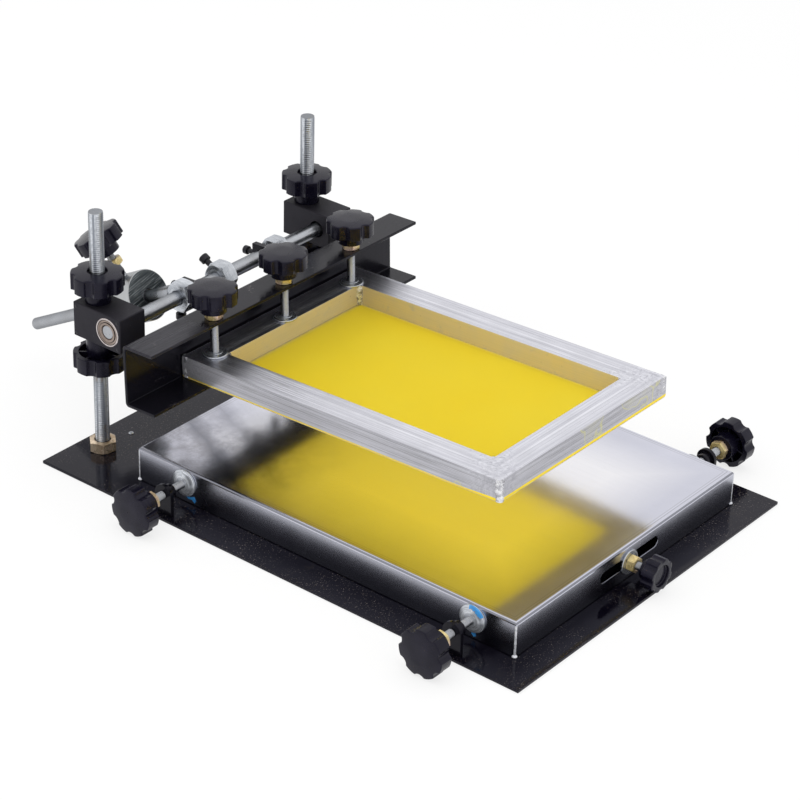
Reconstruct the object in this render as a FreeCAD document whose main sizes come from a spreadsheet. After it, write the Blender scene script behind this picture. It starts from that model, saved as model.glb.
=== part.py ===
import FreeCAD, Part
import os
import math
import Sketcher

# Manual screen printing press.
# Millimetres. X runs along the hinge shaft to the operator's right, Y points from the operator to the
# hinge, Z is up. The origin is the centre of the base plate's underside.

from FreeCAD import Vector, Rotation, Placement

doc = FreeCAD.newDocument("press")
sheet = doc.addObject("Spreadsheet::Sheet", "Size")

# Driving dimensions
SIZES = {
    # base plate
    "base_width": 400,
    "base_depth": 560,
    "base_sheet": 3,
    # threaded height rods and the nuts at their feet
    "rod_dia": 14,
    "rod_length": 248,
    "rod_inset": 54,
    "rod_back": 254,
    "rod_chamfer": 1.5,
    "foot_nut_flats": 24,
    "foot_nut_height": 11,
    "foot_nut_play": 0.5,
    # bearing blocks
    "block_width": 33,
    "block_height": 35,
    "bore_edge": 16.5,
    "bore_pitch": 27,
    "hinge_level": 143,
    "block_rod_play": 0.5,
    "block_chamfer": 0.8,
    "bearing_dia": 28,
    "bearing_width": 8,
    "bearing_proud": 0.4,
    "bearing_groove": 1.2,
    "race_width": 2.5,
    "shaft_tunnel": 1.5,
    # running and screwed fits, as play on the radius
    "run_play": 0.08,
    "screw_play": 0.12,
    # seven lobed star knobs, the larger ones on the height rods
    "knob_dia": 46.5,
    "knob_disc": 15.5,
    "knob_hub": 10,
    "rod_knob_dia": 50,
    "rod_knob_disc": 17.5,
    "upper_hub": 13.5,
    "lower_hub": 17,
    "knob_hub_dia": 25,
    "knob_face": 6,
    "knob_rim": 6,
    "knob_crown": 1.5,
    "knob_crown_dia": 19,
    "lobe_count": 7,
    "lobe_notch": 6,
    "notch_depth": 3,
    "lobe_tip": 1.5,
    "stud_gap": 0.2,
    # hinge shaft and its hexagon collars
    "shaft_dia": 14,
    "shaft_inset": 0.6,
    "shaft_centre_dia": 5,
    "shaft_centre_depth": 4,
    "collar_flats": 27,
    "right_collar_flats": 24,
    "collar_width": 16,
    "weight_collar_x": -64,
    "weight_collar_shift": 2,
    "middle_collar_x": -8.5,
    "right_collar_x": 68.5,
    "collar_screw_dia": 6,
    "collar_screw_reach": 8,
    "collar_screw_head_dia": 10,
    "collar_screw_head": 6,
    "under_screw_reach": 4.5,
    # screen arm: tilt at rest, clamp beam and its lugs
    "arm_tilt": 2,
    "beam_length": 374,
    "beam_depth": 36,
    "beam_height": 62,
    "beam_sheet": 3,
    "beam_bend": 4,
    "beam_back": 44,
    "beam_rise": 11,
    "lug_sheet": 6,
    "lug_height": 22,
    "lug_rear": 11.5,
    "lug_left_x": -50,
    "lug_right_x": 51,
    "lug_screw_dia": 5,
    "lug_screw_reach": 7.5,
    "lug_screw_head_dia": 8.5,
    "lug_screw_head": 5,
    # screen frame and mesh
    "screen_width": 248,
    "screen_length": 368,
    "bar_width": 30,
    "bar_height": 21,
    "bar_wall": 2,
    "screen_shift": 8,
    "screen_web_gap": 1.3,
    "mesh_sheet": 0.6,
    # screen clamp screws
    "clamp_dia": 8,
    "clamp_pitch": 97,
    "clamp_shift": 3,
    "clamp_reach": 69.5,
    "clamp_foot_dia": 24,
    "clamp_foot": 3,
    "clamp_nut_flats": 15,
    "clamp_nut_height": 6.5,
    # counterweight on its rod
    "weight_rod_dia": 12,
    "weight_rod_start": 8.5,
    "weight_rod_length": 214,
    "weight_rod_drop": 26.4,
    "weight_rod_rise": 7,
    "weight_dia": 50,
    "weight_length": 50,
    "weight_start": 44,
    "weight_offset": 1.5,
    "weight_play": 0.15,
    "weight_mouth": 1.5,
    "lock_along": 16.5,
    "lock_angle": 15,
    "lock_dia": 8,
    "lock_nut_start": 40,
    "lock_nut_height": 7,
    "lock_knob_start": 53.5,
    # platen
    "platen_width": 332,
    "platen_depth": 438,
    "platen_height": 35,
    "platen_sheet": 1.5,
    "platen_bend": 3,
    "platen_x": 1.5,
    "platen_y": -30.5,
    "slot_length": 88,
    "slot_height": 11,
    "slot_level": 18.5,
    # side register screws
    "side_dia": 8,
    "side_level": 20.5,
    "side_front_y": -204,
    "side_rear_y": 130,
    "flange_dia": 27,
    "flange_rim": 2.5,
    "flange_cone": 2.5,
    "flange_root_dia": 13,
    "side_nut_start": 41.5,
    "side_nut_flats": 16,
    "side_nut_height": 6.5,
    "bracket_x": 190,
    "bracket_width": 20,
    "bracket_sheet": 4,
    "bracket_boss_dia": 14,
    "bracket_boss": 7,
    # front register screw
    "front_x": 0,
    "front_dia": 8,
    "front_level": 17.5,
    "anchor_setback": 20,
    "front_tail": 10,
    "washer_dia": 24,
    "washer_sheet": 2,
    "front_nut_flats": 14,
    "front_nut_height": 8,
    "front_knob_start": 17,
    "front_hub_dia": 18,
    "front_hub": 6,
    "front_knob_dia": 32,
    "front_knob_disc": 13,
    "front_lobes": 8,
    "front_notch": 5,
    "front_notch_depth": 1.8,
    "front_dish_dia": 21,
    "front_dish": 3,
}
for row, (alias, value) in enumerate(SIZES.items(), start=1):
    sheet.set("A%d" % row, alias)
    sheet.set("B%d" % row, str(value))
    sheet.setAlias("B%d" % row, alias)
doc.recompute()

# Places that follow from the driving dimensions, as expressions
BASE_TOP = "Size.base_sheet"
ROD_X = "(Size.base_width / 2 - Size.rod_inset)"
SHAFT_Y = "(Size.rod_back - Size.bore_pitch)"
SHAFT_Z = "Size.hinge_level"
BLOCK_BOTTOM = "(Size.hinge_level - Size.block_height / 2)"
BLOCK_TOP = "(Size.hinge_level + Size.block_height / 2)"
BLOCK_OUTER = "(%s + Size.block_width / 2)" % ROD_X
BEAM_BOTTOM = "(Size.beam_rise - Size.beam_height)"
FLANGE_TOP = "(%s + Size.beam_sheet)" % BEAM_BOTTOM
BAR_BOTTOM = "(%s + Size.mesh_sheet)" % FLANGE_TOP
BAR_TOP = "(%s + Size.bar_height)" % BAR_BOTTOM
SCREEN_REAR = "(-Size.beam_back - Size.beam_sheet - Size.screen_web_gap)"
PLATEN_FRONT = "(Size.platen_y - Size.platen_depth / 2)"
FRONT_Z = "(Size.base_sheet + Size.front_level)"
SIDE_Z = "(Size.base_sheet + Size.side_level)"

# Turns in degrees: a hexagon from a corner to the middle of a flat, and a thing along Z to the rear
HALF_FLAT = 30
UPRIGHT = 90

SUB_PARTS = []


def value_of(expression):
    """Number that an expression gives with the present sizes."""
    number = sheet.evalExpression(expression)
    return float(getattr(number, "Value", number))


def bind(thing, sizes):
    """Ties properties of an object to expressions."""
    for name, expression in sizes.items():
        thing.setExpression(name, expression)
    return thing


def at(thing, x="0", y="0", z="0"):
    """Ties the place of an object, keeping its turn."""
    return bind(thing, {"Placement.Base.x": x, "Placement.Base.y": y, "Placement.Base.z": z})


def turned(thing, axis, angle):
    """Turns an object about its own origin by a fixed angle."""
    thing.Placement = Placement(Vector(), Rotation(axis, angle))
    return thing


def spun(thing, turn, degrees):
    """Turns an object to an axis after a spin about its own Z."""
    axis, angle = turn
    thing.Placement = Placement(Vector(), Rotation(axis, angle) * Rotation(Vector(0, 0, 1), degrees))
    return thing


AXIS_TURN = {
    "x": (Vector(0, 1, 0), 90),
    "-x": (Vector(0, 1, 0), -90),
    "y": (Vector(1, 0, 0), -90),
    "-y": (Vector(1, 0, 0), 90),
    "z": (Vector(0, 0, 1), 0),
    "-z": (Vector(1, 0, 0), 180),
}


def box(name, size_x, size_y, size_z, x="0", y="0", z="0"):
    """Box with its low corner at x, y, z."""
    thing = doc.addObject("Part::Box", name)
    bind(thing, {"Length": size_x, "Width": size_y, "Height": size_z})
    return at(thing, x, y, z)


def cylinder(name, dia, length, axis="z", x="0", y="0", z="0"):
    """Cylinder that starts at x, y, z and runs along an axis."""
    thing = doc.addObject("Part::Cylinder", name)
    turned(thing, *AXIS_TURN[axis])
    bind(thing, {"Radius": "(%s) / 2" % dia, "Height": length})
    return at(thing, x, y, z)


def cone(name, start_dia, end_dia, length, axis="z", x="0", y="0", z="0"):
    """Cone that starts at x, y, z and runs along an axis."""
    thing = doc.addObject("Part::Cone", name)
    turned(thing, *AXIS_TURN[axis])
    bind(thing, {"Radius1": "(%s) / 2" % start_dia, "Radius2": "(%s) / 2" % end_dia, "Height": length})
    return at(thing, x, y, z)


def hexagon(name, flats, length, axis="z", x="0", y="0", z="0"):
    """Six sided prism that starts at x, y, z and runs along an axis."""
    thing = doc.addObject("Part::Prism", name)
    thing.Polygon = 6
    turned(thing, *AXIS_TURN[axis])
    bind(thing, {"Circumradius": "(%s) / sqrt(3)" % flats, "Height": length})
    return at(thing, x, y, z)


def fused(name, shapes):
    """All shapes joined to one."""
    thing = doc.addObject("Part::MultiFuse", name)
    thing.Shapes = shapes
    return thing


def cut(name, base, tools):
    """Base less every tool."""
    tool = tools[0] if len(tools) == 1 else fused(name + "_tool", tools)
    thing = doc.addObject("Part::Cut", name)
    thing.Base = base
    thing.Tool = tool
    return thing


def grouped(name, shapes):
    """Pieces kept apart in one group."""
    thing = doc.addObject("Part::Compound", name)
    thing.Links = shapes
    return thing


def sub_part(thing, label):
    """Names a finished sub-part after the file that it goes to."""
    thing.Label = label
    SUB_PARTS.append(thing)
    return thing


def in_arm(thing):
    """Sets a piece, modelled about the hinge axis, into the tilted screen arm."""
    thing.Placement = Placement(Vector(), Rotation(Vector(-1, 0, 0), value_of("Size.arm_tilt")))
    bind(thing, {"Placement.Rotation.Angle": "Size.arm_tilt"})
    return at(thing, "0", SHAFT_Y, SHAFT_Z)


def origin_plane(body, role):
    """One of a body's own origin planes."""
    for feature in body.Origin.OriginFeatures:
        if feature.Role == role:
            return feature
    raise ValueError(role)


def outline(body, name, role, corners, offset=None):
    """Closed sketch of straight lines through corners, each tied to the sheet."""
    sketch = body.newObject("Sketcher::SketchObject", name)
    sketch.AttachmentSupport = [(origin_plane(body, role), "")]
    sketch.MapMode = "FlatFace"
    if offset:
        sketch.setExpression("AttachmentOffset.Base.z", offset)
    spots = [Vector(value_of(u), value_of(v), 0) for u, v in corners]
    for index, spot in enumerate(spots):
        following = spots[(index + 1) % len(spots)]
        sketch.addGeometry(Part.LineSegment(spot, following), False)
    for index in range(len(spots)):
        following = (index + 1) % len(spots)
        sketch.addConstraint(Sketcher.Constraint("Coincident", index, 2, following, 1))
    for index, (u, v) in enumerate(corners):
        across = sketch.addConstraint(Sketcher.Constraint("DistanceX", -1, 1, index, 1, spots[index].x))
        sketch.setExpression("Constraints[%d]" % across, u)
        along = sketch.addConstraint(Sketcher.Constraint("DistanceY", -1, 1, index, 1, spots[index].y))
        sketch.setExpression("Constraints[%d]" % along, v)
    return sketch


def circle_sketch(body, name, role, u, v, radius):
    """Sketch of one circle tied to the sheet."""
    sketch = body.newObject("Sketcher::SketchObject", name)
    sketch.AttachmentSupport = [(origin_plane(body, role), "")]
    sketch.MapMode = "FlatFace"
    centre = Vector(value_of(u), value_of(v), 0)
    sketch.addGeometry(Part.Circle(centre, Vector(0, 0, 1), value_of(radius)), False)
    ties = (("Radius", None, radius), ("DistanceX", centre.x, u), ("DistanceY", centre.y, v))
    for kind, start, expression in ties:
        if start is None:
            tie = sketch.addConstraint(Sketcher.Constraint(kind, 0, value_of(radius)))
        else:
            tie = sketch.addConstraint(Sketcher.Constraint(kind, -1, 1, 0, 3, start))
        sketch.setExpression("Constraints[%d]" % tie, expression)
    return sketch


def pad(body, name, sketch, length, both_ways=False):
    """Pad of a sketch, along its normal or to both sides."""
    feature = body.newObject("PartDesign::Pad", name)
    feature.Profile = sketch
    feature.Midplane = both_ways
    bind(feature, {"Length": length})
    return feature


def edges_where(shape, test):
    """Names of the edges whose middle and direction pass a test."""
    names = []
    for number, edge in enumerate(shape.Edges, start=1):
        middle = edge.valueAt((edge.FirstParameter + edge.LastParameter) / 2)
        start = edge.valueAt(edge.FirstParameter)
        finish = edge.valueAt(edge.LastParameter)
        if test(middle, finish - start):
            names.append("Edge%d" % number)
    return names


# Star knob: a moulded disc on a hub, with lobes left between round notches


def star_knob(label, hub, stud_dia, stud_depth, eye=False):
    """Knob that stands on its hub at the origin, face up along Z."""
    body = doc.addObject("PartDesign::Body", label + "_body")
    kind = "Size.rod_knob" if eye else "Size.knob"
    height = "(%s + %s_disc)" % (hub, kind)
    edge = "(%s - Size.knob_crown)" % height
    radius = "%s_dia / 2" % kind
    hub_radius = "Size.knob_hub_dia / 2"
    stud_radius = "((%s) / 2 + Size.screw_play)" % stud_dia
    rim_inner = "(%s - Size.notch_depth - Size.knob_rim / 2)" % radius
    hollow_top = "(%s - Size.knob_face)" % height
    corners = [(stud_radius, "0"), (hub_radius, "0"), (hub_radius, hollow_top), (rim_inner, hollow_top)]
    corners += [(rim_inner, hub), (radius, hub), (radius, edge), ("Size.knob_crown_dia / 2", height)]
    if eye:
        corners += [("Size.knob_crown_dia / 2", hollow_top), (stud_radius, hollow_top)]
    else:
        corners += [("0", height), ("0", stud_depth), (stud_radius, stud_depth)]
    profile = outline(body, label + "_profile", "XZ_Plane", corners)
    turn = body.newObject("PartDesign::Revolution", label + "_turn")
    turn.Profile = profile
    turn.ReferenceAxis = (profile, ["V_Axis"])
    turn.Angle = 360
    doc.recompute()
    notch_centre = "(%s - Size.notch_depth + Size.lobe_notch)" % radius
    ring = circle_sketch(body, label + "_notch_ring", "XY_Plane", notch_centre, "0", "Size.lobe_notch")
    notch = body.newObject("PartDesign::Pocket", label + "_notch")
    notch.Profile = ring
    notch.Type = 1
    notch.Midplane = True
    doc.recompute()
    pattern = body.newObject("PartDesign::PolarPattern", label + "_lobes")
    pattern.Originals = [notch]
    pattern.Axis = (ring, ["N_Axis"])
    pattern.Angle = 360
    bind(pattern, {"Occurrences": "Size.lobe_count"})
    body.Tip = pattern
    doc.recompute()
    rim = value_of(radius)
    tips = body.newObject("PartDesign::Fillet", label + "_tips")
    tips.Base = (pattern, edges_where(pattern.Shape, lambda middle, run: abs(run.z) > 1
                                      and abs(math.hypot(middle.x, middle.y) - rim) < 0.01
                                      and math.hypot(run.x, run.y) < 0.01))
    bind(tips, {"Radius": "Size.lobe_tip"})
    doc.recompute()
    return sub_part(body, label)


# Base plate, height rods and what is fixed to the plate


def make_base():
    plate = box("base_plate_box", "Size.base_width", "Size.base_depth", "Size.base_sheet",
                "-Size.base_width / 2", "-Size.base_depth / 2")
    sub_part(plate, "base_plate")


def make_rod(label, side):
    """Threaded height rod with chamfered top, standing on the plate."""
    straight = "(Size.rod_length - Size.rod_chamfer)"
    shank = cylinder(label + "_shank", "Size.rod_dia", straight)
    top = cone(label + "_top", "Size.rod_dia", "(Size.rod_dia - 2 * Size.rod_chamfer)", "Size.rod_chamfer",
               z=straight)
    rod = fused(label + "_whole", [shank, top])
    at(rod, "%d * %s" % (side, ROD_X), "Size.rod_back", BASE_TOP)
    sub_part(rod, label)


def make_foot_nuts():
    """Nut round the foot of each height rod."""
    nuts = []
    bore = "(Size.rod_dia + 2 * Size.foot_nut_play)"
    for side in (-1, 1):
        name = "foot_nut_%s" % ("left" if side < 0 else "right")
        x = "%d * %s" % (side, ROD_X)
        body = hexagon(name + "_hex", "Size.foot_nut_flats", "Size.foot_nut_height", "z", x, "Size.rod_back",
                       BASE_TOP)
        hole = cylinder(name + "_hole", bore, "Size.foot_nut_height", "z", x, "Size.rod_back", BASE_TOP)
        nuts.append(cut(name, body, [hole]))
    sub_part(grouped("foot_nuts_set", nuts), "foot_nuts")


def upright(name, sheet_side, x, y, level, hole_dia):
    """Upright tab with a round head about its screw hole, its sheet along X from x to its side."""
    low_x = x if sheet_side > 0 else "(%s - Size.bracket_sheet)" % x
    half = "Size.bracket_width / 2"
    stem = box(name + "_stem", "Size.bracket_sheet", "Size.bracket_width", level, low_x,
               "(%s - %s)" % (y, half), BASE_TOP)
    head_z = "(%s + %s)" % (BASE_TOP, level)
    head = cylinder(name + "_head", "Size.bracket_width", "Size.bracket_sheet", "x", low_x, y, head_z)
    inner = "(%s)" % x
    boss_axis = "-x" if sheet_side > 0 else "x"
    boss = cylinder(name + "_boss", "Size.bracket_boss_dia", "Size.bracket_boss", boss_axis, inner, y, head_z)
    tab = fused(name + "_tab", [stem, head, boss])
    hole_start = "(%s - %d * Size.bracket_boss)" % (x, sheet_side)
    hole_length = "(Size.bracket_boss + Size.bracket_sheet)"
    hole_axis = "x" if sheet_side > 0 else "-x"
    hole = cylinder(name + "_hole", "(%s + 2 * Size.screw_play)" % hole_dia, hole_length, hole_axis,
                    hole_start, y, head_z)
    return cut(name, tab, [hole])


def make_brackets():
    """Four uprights that the side register screws run in."""
    tabs = []
    for side, word in ((-1, "left"), (1, "right")):
        for end in ("front", "rear"):
            name = "bracket_%s_%s" % (word, end)
            x = "%d * Size.bracket_x" % side
            tabs.append(upright(name, side, x, "Size.side_%s_y" % end, "Size.side_level", "Size.side_dia"))
    sub_part(grouped("brackets_set", tabs), "screw_brackets")


def make_front_anchor():
    """Upright under the platen that the front register screw runs in."""
    y = "(%s + Size.anchor_setback)" % PLATEN_FRONT
    stem = box("anchor_stem", "Size.bracket_width", "Size.bracket_sheet", "Size.front_level",
               "(Size.front_x - Size.bracket_width / 2)", y, BASE_TOP)
    head = cylinder("anchor_head", "Size.bracket_width", "Size.bracket_sheet", "y", "Size.front_x", y, FRONT_Z)
    tab = fused("anchor_tab", [stem, head])
    hole = cylinder("anchor_hole", "(Size.front_dia + 2 * Size.screw_play)", "Size.bracket_sheet", "y",
                    "Size.front_x", y, FRONT_Z)
    sub_part(cut("anchor", tab, [hole]), "front_anchor")


# Carriage: two bearing blocks that the knobs hold on the rods


def make_block(label, side):
    """Bearing block with a rod bore at the back and a bearing seat at the front."""
    body = doc.addObject("PartDesign::Body", label + "_body")
    half = "Size.block_width / 2"
    rear = "Size.bore_edge"
    front = "-(Size.bore_edge + Size.bore_pitch)"
    corners = [("-" + half, front), (half, front), (half, rear), ("-" + half, rear)]
    plan = outline(body, label + "_plan", "XY_Plane", corners)
    pad(body, label + "_pad", plan, "Size.block_height", both_ways=True)
    doc.recompute()
    base = body.Tip
    edge = body.newObject("PartDesign::Chamfer", label + "_edges")
    edge.Base = (base, edges_where(base.Shape, lambda middle, run: True))
    bind(edge, {"Size": "Size.block_chamfer"})
    doc.recompute()
    bore = circle_sketch(body, label + "_rod_ring", "XY_Plane", "0", "0",
                         "(Size.rod_dia / 2 + Size.block_rod_play)")
    rod_bore = body.newObject("PartDesign::Pocket", label + "_rod_bore")
    rod_bore.Profile = bore
    rod_bore.Type = 1
    rod_bore.Midplane = True
    doc.recompute()
    tunnel_start = "-%s" % half
    tunnel = cylinder(label + "_tunnel", "(Size.shaft_dia + 2 * Size.shaft_tunnel)", "Size.block_width", "x",
                      tunnel_start, "-Size.bore_pitch")
    seat_axis = "-x" if side > 0 else "x"
    seat = cylinder(label + "_seat", "Size.bearing_dia", "Size.bearing_width", seat_axis,
                    "%d * %s" % (side, half), "-Size.bore_pitch")
    block = cut(label + "_bored", body, [tunnel, seat])
    at(block, "%d * %s" % (side, ROD_X), "Size.rod_back", SHAFT_Z)
    sub_part(block, label)


def make_bearing(label, side):
    """Ball bearing: outer race, inner race and the shield between them, as one ring."""
    body = doc.addObject("PartDesign::Body", label + "_body")
    outer = "Size.bearing_dia / 2"
    inner = "(Size.shaft_dia / 2 + Size.run_play)"
    face = "(Size.bearing_width + Size.bearing_proud)"
    groove = "(%s - Size.bearing_groove)" % face
    outer_race = "(%s - Size.race_width)" % outer
    inner_race = "(%s + Size.race_width)" % inner
    corners = [(inner, "0"), (outer, "0"), (outer, face), (outer_race, face), (outer_race, groove)]
    corners += [(inner_race, groove), (inner_race, face), (inner, face)]
    profile = outline(body, label + "_profile", "XZ_Plane", corners)
    turn = body.newObject("PartDesign::Revolution", label + "_turn")
    turn.Profile = profile
    turn.ReferenceAxis = (profile, ["V_Axis"])
    turn.Angle = 360
    turned(body, *AXIS_TURN["x" if side > 0 else "-x"])
    at(body, "%d * (%s - Size.bearing_width)" % (side, BLOCK_OUTER), SHAFT_Y, SHAFT_Z)
    sub_part(body, label)


def make_carriage():
    for side, word in ((-1, "left"), (1, "right")):
        make_block("%s_block" % word, side)
        make_bearing("%s_bearing" % word, side)
        x = "%d * %s" % (side, ROD_X)
        upper = star_knob("%s_upper_knob" % word, "Size.upper_hub", "Size.rod_dia", "0", eye=True)
        at(upper, x, "Size.rod_back", BLOCK_TOP)
        lower = star_knob("%s_lower_knob" % word, "Size.lower_hub", "Size.rod_dia", "0", eye=True)
        turned(lower, *AXIS_TURN["-z"])
        at(lower, x, "Size.rod_back", BLOCK_BOTTOM)


# Screen arm, modelled about the hinge axis


def make_shaft():
    length = "(2 * (%s - Size.shaft_inset))" % BLOCK_OUTER
    start = "-(%s - Size.shaft_inset)" % BLOCK_OUTER
    bar = cylinder("shaft_bar", "Size.shaft_dia", length, "x", start)
    centres = []
    for side, axis in ((-1, "x"), (1, "-x")):
        end = "%d * (%s - Size.shaft_inset)" % (side, BLOCK_OUTER)
        centres.append(cone("shaft_centre_%s" % axis.strip("-") + ("a" if side < 0 else "b"),
                            "Size.shaft_centre_dia", "1", "Size.shaft_centre_depth", axis, end))
    sub_part(in_arm(cut("shaft", bar, centres)), "hinge_shaft")


def make_beam():
    """Folded channel, open to the front, with two bored lugs that hang it on the shaft."""
    body = doc.addObject("PartDesign::Body", "beam_body")
    back = "-Size.beam_back"
    front = "-(Size.beam_back + Size.beam_depth)"
    web = "-(Size.beam_back + Size.beam_sheet)"
    top = "Size.beam_rise"
    under_top = "(Size.beam_rise - Size.beam_sheet)"
    corners = [(back, top), (front, top), (front, under_top), (web, under_top), (web, FLANGE_TOP),
               (front, FLANGE_TOP), (front, BEAM_BOTTOM), (back, BEAM_BOTTOM)]
    section = outline(body, "beam_section", "YZ_Plane", corners)
    pad(body, "beam_pad", section, "Size.beam_length", both_ways=True)
    doc.recompute()

    def bends(feature, y_text):
        y = value_of(y_text)
        return edges_where(feature.Shape, lambda middle, run: abs(middle.y - y) < 0.01
                           and abs(run.x) > 1 and abs(middle.x) < 1)

    straight = body.Tip
    outer_bend = body.newObject("PartDesign::Fillet", "beam_outer_bend")
    outer_bend.Base = (straight, bends(straight, back))
    bind(outer_bend, {"Radius": "Size.beam_bend"})
    doc.recompute()
    inner_bend = body.newObject("PartDesign::Fillet", "beam_inner_bend")
    inner_bend.Base = (outer_bend, bends(outer_bend, web))
    bind(inner_bend, {"Radius": "(Size.beam_bend - Size.beam_sheet)"})
    doc.recompute()
    holes = []
    for number in (-1, 0, 1):
        x = "(Size.clamp_shift + %d * Size.clamp_pitch)" % number
        holes.append(cylinder("beam_hole_%d" % (number + 2), "(Size.clamp_dia + 2 * Size.screw_play)",
                              "Size.beam_sheet", "z", x, "-Size.clamp_reach", under_top))
    channel = cut("beam_channel", body, holes)
    lugs = []
    for word in ("left", "right"):
        x = "(Size.lug_%s_x - Size.lug_sheet / 2)" % word
        lugs.append(box("lug_%s" % word, "Size.lug_sheet", "(Size.beam_back + Size.lug_rear)",
                        "Size.lug_height", x, "-Size.beam_back", "(Size.beam_rise - Size.lug_height)"))
    whole = fused("beam_whole", [channel] + lugs)
    bore = cylinder("lug_bore", "(Size.shaft_dia + 2 * Size.run_play)", "Size.beam_length", "x",
                    "-Size.beam_length / 2")
    sub_part(in_arm(cut("beam", whole, [bore])), "clamp_beam")


def collar(name, middle, flats, spin):
    """Hexagon collar on the shaft, spun about it from having corners above and below."""
    start = "(%s - Size.collar_width / 2)" % middle
    body = hexagon(name + "_hex", flats, "Size.collar_width", "x", start)
    spun(body, AXIS_TURN["x"], spin)
    hole = cylinder(name + "_hole", "(Size.shaft_dia + 2 * Size.run_play)", "Size.collar_width", "x", start)
    return cut(name, body, [hole])


def along_weight_rod(name, dia, start, length, out="0"):
    """Cylinder along the counterweight rod or out from it, given in the arm's frame."""
    thing = doc.addObject("Part::Cylinder", name)
    thing.Placement = Placement(Vector(), Rotation(Vector(-1, 0, 0), 90 + value_of("Size.weight_rod_drop")))
    bind(thing, {"Radius": "(%s) / 2" % dia, "Height": length})
    bind(thing, {"Placement.Rotation.Angle": "90 + Size.weight_rod_drop"})
    return at(thing, *on_weight_rod(start, out))


def on_weight_rod(along, out="0", turn="0"):
    """Point at a distance along the counterweight rod and out from its middle."""
    drop = "Size.weight_rod_drop"
    lift = "(Size.weight_rod_rise + (%s) * cos(%s))" % (out, turn)
    x = "(Size.weight_collar_x - (%s) * sin(%s))" % (out, turn)
    y = "((%s) * cos(%s) + %s * sin(%s))" % (along, drop, lift, drop)
    z = "(%s * cos(%s) - (%s) * sin(%s))" % (lift, drop, along, drop)
    return x, y, z


def make_collars():
    plain = collar("weight_collar_plain", "(Size.weight_collar_x + Size.weight_collar_shift)",
                   "Size.collar_flats", -value_of("Size.weight_rod_drop"))
    socket = along_weight_rod("weight_collar_socket", "(Size.weight_rod_dia + 2 * Size.screw_play)",
                              "Size.weight_rod_start", "Size.collar_flats")
    sub_part(in_arm(cut("weight_collar_whole", plain, [socket])), "weight_collar")
    rings = [collar("middle_collar", "Size.middle_collar_x", "Size.collar_flats", HALF_FLAT),
             collar("right_collar", "Size.right_collar_x", "Size.right_collar_flats", HALF_FLAT)]
    sub_part(in_arm(grouped("plain_collars", rings)), "shaft_collars")


def socket_screw(word, kind, reach, x, start, angle):
    """Socket head screw square to the shaft, at an angle from the rear toward the top."""
    shank = cylinder("screw_%s_shank" % word, "Size.%s_dia" % kind, reach, "z", z=start)
    head = cylinder("screw_%s_head" % word, "Size.%s_head_dia" % kind, "Size.%s_head" % kind, "z",
                    z="(%s + %s)" % (start, reach))
    screw = fused("screw_%s" % word, [shank, head])
    turned(screw, Vector(1, 0, 0), angle - UPRIGHT)
    return at(screw, x)


def make_collar_screws():
    """Socket head screws that lock the collars and the lugs on the shaft."""
    flat = "Size.collar_flats / 2"
    under = -(2 * HALF_FLAT + value_of("Size.weight_rod_drop"))
    screws = [socket_screw("weight", "collar_screw", "Size.under_screw_reach", "Size.weight_collar_x",
                           flat, under),
              socket_screw("middle", "collar_screw", "Size.collar_screw_reach", "Size.middle_collar_x",
                           flat, HALF_FLAT),
              socket_screw("right", "collar_screw", "Size.under_screw_reach", "Size.right_collar_x",
                           "Size.right_collar_flats / 2", -UPRIGHT)]
    for word in ("left", "right"):
        screws.append(socket_screw("lug_" + word, "lug_screw", "Size.lug_screw_reach", "Size.lug_%s_x" % word,
                                   "Size.lug_rear", 0))
    sub_part(in_arm(grouped("collar_screws_set", screws)), "collar_screws")


def make_screen():
    """Four mitred hollow bars and the mesh stretched under them."""
    half_width = "Size.screen_width / 2"
    centre_y = "(%s - Size.screen_length / 2)" % SCREEN_REAR
    runs = (("front", "Size.screen_width", 180, "Size.screen_length / 2"),
            ("rear", "Size.screen_width", 0, "Size.screen_length / 2"),
            ("left", "Size.screen_length", 90, half_width),
            ("right", "Size.screen_length", 270, half_width))
    for word, length, turn, reach in runs:
        label = "frame_%s_bar" % word
        body = doc.addObject("PartDesign::Body", label + "_body")
        out = "Size.screen_length / 2" if word in ("front", "rear") else half_width
        inner = "(%s - Size.bar_width)" % reach
        corners = [("-(%s) / 2" % length, reach), ("(%s) / 2" % length, reach),
                   ("((%s) / 2 - Size.bar_width)" % length, inner),
                   ("-((%s) / 2 - Size.bar_width)" % length, inner)]
        plan = outline(body, label + "_plan", "XY_Plane", corners)
        pad(body, label + "_pad", plan, "Size.bar_height")
        tunnel = box(label + "_tunnel", length, "(Size.bar_width - 2 * Size.bar_wall)",
                     "(Size.bar_height - 2 * Size.bar_wall)", "-(%s) / 2" % length,
                     "(%s + Size.bar_wall)" % inner, "Size.bar_wall")
        bar = cut(label + "_hollow", body, [tunnel])
        turned(bar, Vector(0, 0, 1), turn)
        at(bar, "Size.screen_shift", centre_y, BAR_BOTTOM)
        sub_part(in_arm(grouped(label + "_set", [bar])), label)
    mesh = box("mesh_box", "Size.screen_width", "Size.screen_length", "Size.mesh_sheet",
               "(Size.screen_shift - %s)" % half_width, "(%s - Size.screen_length)" % SCREEN_REAR, FLANGE_TOP)
    sub_part(in_arm(grouped("mesh_set", [mesh])), "screen_mesh")


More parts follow.
